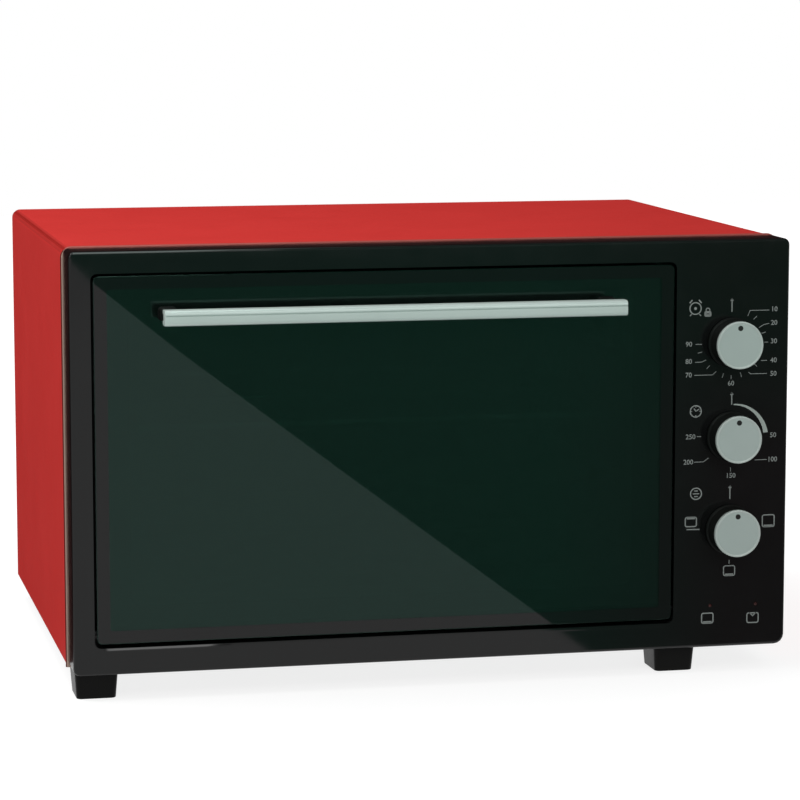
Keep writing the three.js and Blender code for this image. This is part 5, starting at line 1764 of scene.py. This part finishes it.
@dataclass
class HeatingElement:
    """A hairpin of steel tube with a collar, a ceramic end and a pin on each leg."""

    level: Level
    tube_radius: float = 3.25
    tube_sides: int = 18
    bend_radius: float = 85.0
    bend_steps: int = 48
    wall_depth: float = 7.5
    ceramic_radius: float = 4.5
    ceramic_length: float = 17.25
    ceramic_overlap: float = 3.0
    # The ceramic's inner end: steps in from its radius, and how far past its start
    ceramic_edge: tuple[Point2, ...] = ((0.6, 0.0), (0.0, 0.6))
    # Its neck: steps in from its radius, and how far short of its end
    ceramic_neck: tuple[Point2, ...] = ((0.0, 5.0), (1.2, 4.4), (1.4, 0.4), (1.8, 0.0))
    collar_radius: float = 8.0
    # The collar's two faces by their distance from the wall
    collar_faces: Span = (0.3, 1.8)
    # The bevel of its rims, and how far its outer face's runs down its side
    collar_bevel: Span = (0.4, 0.3)
    pin_radius: float = 2.0
    pin_length: float = 9.0
    pin_root: float = 0.5
    pin_bevel: float = 0.5
    sides: int = 32
    pin_sides: int = 24

    def build(self) -> None:
        """Builds the element in place of the CAD node."""
        level = self.level.value
        node = f"{level}_element"
        x, y, z = node_spans(node)
        height, mid = middle(z), middle(y)
        legs = around(mid, 2 * self.bend_radius)
        wall = node_spans("cavity_liner")[0][1] - self.wall_depth
        end = x[1] - self.pin_length
        start = end - self.ceramic_length
        turn = x[0] + self.tube_radius + self.bend_radius
        bend = arc(turn, mid, self.bend_radius, 270, 90, self.bend_steps)
        near, far = ([(start + self.ceramic_overlap, leg), (wall, leg)] for leg in legs)
        path = at_z([*near, *bend, *reversed(far)], height)
        tube = Skin().tube(path, self.tube_radius, self.tube_sides)
        tube.piece(f"{level}_heating_tube", "housing", ELEMENT, stands_for=(node,))
        for number, leg in enumerate(legs):
            fittings = (
                ("ceramic", CERAMIC, self._ceramic(start, end), self.sides),
                ("collar", SCREW, self._collar(wall), self.sides),
                ("pin", SCREW, self._pin(end, x[1]), self.pin_sides),
            )
            for name, finish, profile, sides in fittings:
                fitting = Skin().turned(profile, (leg, height), sides, lay=at_x)
                fitting.piece(f"{level}_{name}_{number}", "housing", finish)

    def _ceramic(self, start: float, end: float) -> list[Point2]:
        """The ceramic end's profile.

        Args:
            start: where it starts along X.
            end: where it ends.

        Returns:
            Pairs of radius and place along X.
        """
        r = self.ceramic_radius
        return [
            (0, start),
            *((r - inward, start + past) for inward, past in self.ceramic_edge),
            *((r - inward, end - short) for inward, short in self.ceramic_neck),
            (0, end),
        ]

    def _collar(self, wall: float) -> list[Point2]:
        """The profile of the washer that holds a leg in the cavity's wall.

        Args:
            wall: place of the wall along X.

        Returns:
            Pairs of radius and place along X.
        """
        r, (start, end) = self.collar_radius, (wall + off for off in self.collar_faces)
        bevel, down = self.collar_bevel
        return [
            (0, start), (r - bevel, start), (r, start + bevel), (r, end - down), (r - bevel, end), (0, end)
        ]

    def _pin(self, ceramic_end: float, tip: float) -> list[Point2]:
        """The contact pin's profile, from inside the ceramic to its tip."""
        r, bevel, start = self.pin_radius, self.pin_bevel, ceramic_end - self.pin_root
        return [(0, start), (r, start), (r, tip - bevel), (r - bevel, tip), (0, tip)]


@dataclass
class Rack:
    """A welded wire rack: a loop of rod, wires from front to back, and a rod across under them."""

    rod_radius: float = 2.5
    wire_radius: float = 1.5
    cross_radius: float = 2.0
    corner: float = 14.0
    corner_steps: int = 8
    wires: int = 13
    rod_sides: int = 16
    wire_sides: int = 12

    def build(self) -> None:
        """Builds the rack in place of the CAD node."""
        x, y, z = node_spans("wire_rack")
        r, height = self.rod_radius, middle(z)
        loop = at_z(rounded(inset(x, r), inset(y, r), self.corner - r, self.corner_steps), height)
        skin = Skin().tube(loop, r, self.rod_sides, closed=True)
        pitch = (x[1] - x[0]) / (self.wires + 1)
        lift = height + r - self.wire_radius
        for k in range(self.wires):
            u = x[0] + (k + 1) * pitch
            skin.tube([(u, v, lift) for v in inset(y, r)], self.wire_radius, self.wire_sides)
        low = height - r + self.cross_radius
        skin.tube([(u, middle(y), low) for u in inset(x, r)], self.cross_radius, self.wire_sides)
        skin.piece("chromed_rack", "rack", CHROME, stands_for=("wire_rack",))


@dataclass
class Tray:
    """A pressed tray with sloping walls and a turned rim."""

    rim: float = 11.0
    slope: float = 6.0
    sheet: float = 0.8
    bend: float = 1.2
    ease: float = 0.1
    flat: float = 4.0
    lip: float = 0.35
    rim_drop: float = 0.25
    corner: float = 18.0
    corner_steps: int = 10
    crease: float = 50.0

    def build(self) -> None:
        """Builds the tray in place of the CAD node."""
        x, y, (floor, top) = node_spans("baking_tray")
        t, rim, foot = self.sheet, self.rim, self.rim + self.slope
        bend, ease, flat, lip = self.bend, self.ease, foot + self.flat, self.lip
        section = [
            (flat, floor + t), (foot + t + bend, floor + t + ease), (foot + t, floor + t + bend + ease),
            (rim + t + 3 * ease, top - bend - 2 * ease), (rim - ease, top - self.rim_drop),
            (rim - bend, top), (bend, top), (lip, top - ease), (0, top - t / 2),
            (lip, top - t + ease), (bend, top - t), (rim - bend, top - t), (rim, top - bend - 3 * ease),
            (foot, floor + bend + 2 * ease), (foot + bend, floor + ease), (flat, floor),
        ]
        rings = [
            at_z(rounded(inset(x, by), inset(y, by), self.corner, self.corner_steps), height)
            for by, height in section
        ]
        skin = Skin().loft(rings)
        skin.piece("enamel_tray", "tray", ENAMEL, crease=self.crease, stands_for=("baking_tray",))


@dataclass
class HingeSpring:
    """A close-wound spring between a hinge arm's tail and its bracket."""

    side: Side
    radius: float = 4.2
    lead_bend: float = 1.0
    wire: float = 0.8
    wire_sides: int = 7
    pitch: float = 2.1
    hook: float = 9.0
    lead_in: float = 3.0
    steps: int = 12
    crease: float = 60.0

    def build(self) -> None:
        """Winds the spring in place of the CAD node."""
        node = self.side.of("hinge_spring")
        x, y, z = node_spans(node)
        u, w, reach = middle(x), middle(z), self.radius - self.wire
        start, end = inset(y, self.hook)
        count = round((end - start) / self.pitch) * self.steps
        bend = self.lead_bend
        path = [(u, y[0], w), (u, start - self.lead_in, w), (u + reach / 2, start - bend, w)]
        for k in range(count + 1):
            angle = 2 * math.pi * k / self.steps
            depth = start + (end - start) * k / count
            path.append((u + reach * math.cos(angle), depth, w + reach * math.sin(angle)))
        path += [(u + reach / 2, end + bend, w), (u, end + self.lead_in, w), (u, y[1], w)]
        spring = Skin().tube(path, self.wire, self.wire_sides)
        name = self.side.of("wound_spring")
        spring.piece(name, "housing", SCREW, crease=self.crease, stands_for=(node,))


# Studio


@dataclass
class Studio:
    """The floor, the soft lights, the white background and the camera at the photograph's angle."""

    camera_at: Point3 = (-547.0, -2556.5, 551.0)
    yaw: float = 12.37
    pitch: float = 7.74
    lens: float = 144.7
    sensor: float = 36.0
    # Nearest and farthest that the camera sees, in metres
    clip: Span = (0.05, 60.0)
    # Each lamp's place and width, and its power in watts
    lamps: tuple[tuple[str, Point3, float, float], ...] = (
        ("key_left", (-2300.0, -1300.0, 1500.0), 1500.0, 8.5),
        ("overhead", (-900.0, 100.0, 1900.0), 1400.0, 22.0),
        ("front_fill", (600.0, -2800.0, 1500.0), 1600.0, 28.0),
    )
    target: Point3 = (0.0, 0.0, 180.0)
    world_strength: float = 0.34
    mirrored_strength: float = 0.3
    floor_size: float = 9000.0
    floor_lit: float = 0.8
    floor_shaded: float = 0.34
    # Distances from the oven's middle, in metres, and the floor's glow at each
    floor_fade: Span = (0.3, 1.2)
    floor_glow: Span = (0.79, 1.0)
    mirrored_floor: float = 0.74
    face_depth: float = -196.5
    flag_depth: float = -250.0
    flag_outline: tuple[Point2, ...] = (
        (-331.0, 380.0), (-264.2, 318.6), (-196.8, 263.2), (-60.5, 159.2), (90.2, 45.0), (140.0, 2.0),
        (900.0, 2.0), (900.0, 1400.0), (-60.0, 1400.0), (-120.0, 380.0),
    )
    # Linear colours of the flag at its left, and at its right low and high
    flag_left: Colour = (0.06, 0.22, 0.16)
    flag_right_low: Colour = (0.11, 0.092, 0.095)
    flag_right_high: Colour = (0.06, 0.145, 0.105)
    # Where one tone turns into the next, in metres along X and up Z
    flag_turns_right: Span = (0.1, 0.25)
    flag_turns_high: Span = (0.17, 0.27)
    cloth_colour: Colour = (0.03, 0.012, 0.012)
    cloth_depth: float = 420.0
    cloth_left: float = -1500.0
    cloth_right: float = 4500.0
    cloth_near: float = -200.0
    cloth_laid_near: float = -60.0
    cloth_laid_height: float = 1.0
    cloth_height: float = 3000.0
    sheet_colour: Colour = (0.85, 1.0, 0.95)
    # Each sheet's spans along X and Y, its height and its strength
    sheets: tuple[tuple[str, Span, Span, float, float], ...] = (
        ("studio_sheet", (-1400.0, 200.0), (-900.0, 600.0), 1800.0, 1.0),
        ("studio_strip", (-420.0, -70.0), (-1000.0, -150.0), 900.0, 3.8),
    )

    def build(self) -> None:
        """Makes everything round the oven."""
        for name in ("Cube", "Light", "Camera"):
            if name in bpy.data.objects:
                bpy.data.objects.remove(bpy.data.objects[name])
        self._camera()
        self._lamps()
        self._floor()
        self._world()
        self._flag()
        self._cloths()
        self._sheets()
        bpy.context.scene.view_settings.view_transform = "Standard"
        log.info("studio: camera, %d lamps, floor", len(self.lamps))

    def _camera(self) -> None:
        """Sets up the camera, without shift or depth of field."""
        data = bpy.data.cameras.new("camera")
        data.lens, data.sensor_width = self.lens, self.sensor
        data.clip_start, data.clip_end = self.clip
        camera = linked("camera", data)
        camera.location = Vector(self.camera_at) * MM
        yaw, pitch = math.radians(self.yaw), math.radians(self.pitch)
        level = Vector((math.sin(yaw), math.cos(yaw), 0.0)) * math.cos(pitch)
        turn_towards(camera, level - Vector((0.0, 0.0, math.sin(pitch))))
        bpy.context.scene.camera = camera

    def _lamps(self) -> None:
        """Hangs square area lamps that all look at the oven."""
        for name, place, size, power in self.lamps:
            data = bpy.data.lights.new(name, "AREA")
            data.size, data.energy = size * MM, power
            lamp = linked(name, data)
            lamp.location = Vector(place) * MM
            turn_towards(lamp, Vector(self.target) - Vector(place))

    def _floor(self) -> None:
        """Lays a pale floor that is white to the eye and keeps the oven's shadow."""
        half = self.floor_size / 2
        corners = [(-half, -half, 0), (half, -half, 0), (half, half, 0), (-half, half, 0)]
        net = self._stand("studio_floor", corners)
        fade = net.spread(net.away("X", "Y"), self.floor_fade, self.floor_glow)
        lit, shaded = (
            net.node("ShaderNodeBsdfDiffuse", Color=(tone, tone, tone, 1.0)).outputs[0]
            for tone in (self.floor_lit, self.floor_shaded)
        )
        bright = net.filled("ShaderNodeAddShader", {}, {0: shaded, 1: self._glow(net, (1.0, 1.0, 1.0), fade)})
        dim = self._glow(net, (1.0, 1.0, 1.0), self.mirrored_floor)
        self._finish(net, "ShaderNodeOutputMaterial", self._by_ray(net, lit, dim, bright))

    def _world(self) -> None:
        """Makes the world white to the eye, and an even grey light on the oven."""
        world = bpy.data.worlds.new("studio")
        bpy.context.scene.world = world
        world.use_nodes = True
        world.node_tree.nodes.clear()
        net = Net(world.node_tree)
        lit, dim, white = (
            net.node("ShaderNodeBackground", Color=(1.0, 1.0, 1.0, 1.0), Strength=strength).outputs[0]
            for strength in (self.world_strength, self.mirrored_strength, 1.0)
        )
        self._finish(net, "ShaderNodeOutputWorld", self._by_ray(net, lit, dim, white))

    def _flag(self) -> None:
        """Hangs a dark cloth in front, for reflections only, whose slanting edge crosses the door glass."""
        eye = Vector(self.camera_at)
        mirrored = Vector((eye.x, 2 * self.face_depth - eye.y, eye.z))
        share = (self.flag_depth - mirrored.y) / (self.face_depth - mirrored.y)
        spots = [Vector((u, self.face_depth, v)) for u, v in self.flag_outline]
        net = self._card("studio_flag", [tuple(mirrored + (spot - mirrored) * share) for spot in spots])
        where = net.node("ShaderNodeSeparateXYZ", Vector=net.where()).outputs
        tones = (self.flag_left, self.flag_right_low, self.flag_right_high)
        left, low, high = ((*tone, 1.0) for tone in tones)
        right = net.mix(net.spread(where["Z"], self.flag_turns_high, SHARE), low, high)
        tone = net.mix(net.spread(where["X"], self.flag_turns_right, SHARE), left, right)
        self._finish(net, "ShaderNodeOutputMaterial", self._glow(net, tone, 1.0))

    def _cloths(self) -> None:
        """Hangs dark cloths behind and to the left, for reflections only, which keep the red from paling."""
        wrap_x, _, wrap_z = node_spans("outer_wrap")
        x0, y0, z1, top = wrap_x[0], self.cloth_near, self.cloth_height, wrap_z[1]
        left, right, far = self.cloth_left, self.cloth_right, self.cloth_depth
        laid, low = self.cloth_laid_near, self.cloth_laid_height
        cloths = {
            "studio_cloth_over": [(left, far, top), (right, far, top), (right, far, z1), (left, far, z1)],
            "studio_cloth_beside": [(left, far, 0), (x0, far, 0), (x0, far, top), (left, far, top)],
            "studio_cloth_left": [(left, y0, 0), (left, far, 0), (left, far, z1), (left, y0, z1)],
            "studio_cloth_laid": [(left, laid, low), (x0, laid, low), (x0, far, low), (left, far, low)],
        }
        for name, corners in cloths.items():
            net = self._card(name, corners)
            self._finish(net, "ShaderNodeOutputMaterial", self._glow(net, self.cloth_colour, 1.0))

    def _sheets(self) -> None:
        """Hangs white sheets above, for reflections only, which light the edges that look up at the left."""
        for name, (x0, x1), (y0, y1), z, strength in self.sheets:
            net = self._card(name, [(x0, y0, z), (x1, y0, z), (x1, y1, z), (x0, y1, z)])
            self._finish(net, "ShaderNodeOutputMaterial", self._glow(net, self.sheet_colour, strength))

    def _stand(self, name: str, corners: Sequence[Point3], rays: Sequence[str] = ()) -> Net:
        """Puts a flat piece of the studio in place.

        Args:
            name: its name.
            corners: its corners.
            rays: the kinds of ray that don't see it.

        Returns:
            The empty tree of its material.
        """
        mesh = bpy.data.meshes.new(name)
        mesh.from_pydata([tuple(Vector(corner) * MM) for corner in corners], [], [tuple(range(len(corners)))])
        stand = linked(name, mesh)
        made = bpy.data.materials.new(name)
        made.use_nodes = True
        made.node_tree.nodes.clear()
        mesh.materials.append(made)
        for ray in rays:
            setattr(stand, f"visible_{ray}", False)
        return Net(made.node_tree)

    def _card(self, name: str, corners: Sequence[Point3]) -> Net:
        """Puts up a flat card that only reflections show."""
        return self._stand(name, corners, ("camera", "diffuse", "transmission", "volume_scatter", "shadow"))

    def _glow(self, net: Net, colour: object, strength: object) -> Socket:
        """A surface that shines by itself.

        Args:
            net: the material's tree.
            colour: a linear colour, or a socket to link.
            strength: its strength, or a socket to link.

        Returns:
            The surface.
        """
        shown = (*colour, 1.0) if isinstance(colour, tuple) else colour
        return net.node("ShaderNodeEmission", Color=shown, Strength=strength).outputs[0]

    def _by_ray(self, net: Net, lit: Socket, mirrored: Socket, seen: Socket) -> Socket:
        """Chooses a surface by the kind of ray that meets it.

        Args:
            net: the material's tree.
            lit: what lights the oven.
            mirrored: what a reflection shows.
            seen: what the camera sees, straight or through glass.

        Returns:
            The chosen surface.
        """
        path = net.node("ShaderNodeLightPath").outputs
        unseen = net.blend(path["Is Glossy Ray"], lit, mirrored)
        eye = net.sum("MAXIMUM", path["Is Camera Ray"], path["Is Transmission Ray"])
        return net.blend(eye, unseen, seen)

    def _finish(self, net: Net, kind: str, surface: Socket) -> None:
        """Leads a surface to the output of its tree."""
        net.node(kind, Surface=surface)


CAD_FINISHES: tuple[tuple[Finish, float, tuple[str, ...]], ...] = (
    (FRAME_BLACK, 0.5, ("front_frame",)),
    (PAN_BLACK, 0.0, ("door_pan",)),
    (SMOKED, 0.4, ("door_outer_glass",)),
    (CLEAR, 0.3, ("door_inner_glass",)),
    (SILICONE, 0.6, ("door_seal",)),
    (ENAMEL, 0.3, ("cavity_liner",)),
    (ZINC, 0.0, ("base_pan", "rear_panel", "heat_shield")),
    (ZINC, 0.2, (*both("hinge_arm"), *both("hinge_bracket"))),
    (ZINC, 0.3, ("lower_element_clip", "upper_element_clip", "timer_body")),
    (PIN, 0.2, both("hinge_pin")),
    (SCREW, 0.2, (*both("foot_screw_front"), *both("foot_screw_rear"), *both("handle_screw"))),
    (SCREW, 0.2, ("timer_shaft", "thermostat_shaft", "function_shaft")),
    (FOOT, 0.6, (*both("foot_front"), *both("foot_rear"))),
    (PLASTIC, 0.3, ("thermostat_body", "selector_switch")),
    (PLASTIC, 0.4, ("cable_gland",)),
    (CERAMIC, 0.4, ("terminal_block",)),
    (COPPER, 0.0, ("thermostat_bulb",)),
    (SLEEVE, 0.0, ("supply_lead", "timer_lead", "upper_element_lead", "lower_element_lead")),
)


def main() -> None:
    """Builds the studio, dresses the CAD nodes and builds every sub-assembly in order."""
    logging.basicConfig(level=logging.INFO, format="%(name)s: %(message)s")
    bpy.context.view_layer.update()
    Studio().build()
    for finish, edge, nodes in CAD_FINISHES:
        for node in nodes:
            dress_node(node, finish, edge)
    parts = [Wrap(), RearScrews(), Sill(), Door(), Panel(), Rack(), Tray()]
    parts += [Knob(name) for name in ("timer", "thermostat", "function")]
    parts += [HeatingElement(level) for level in Level]
    parts += [HingeSpring(side) for side in Side]
    for part in parts:
        part.build()


if __name__ == "__main__":
    main()
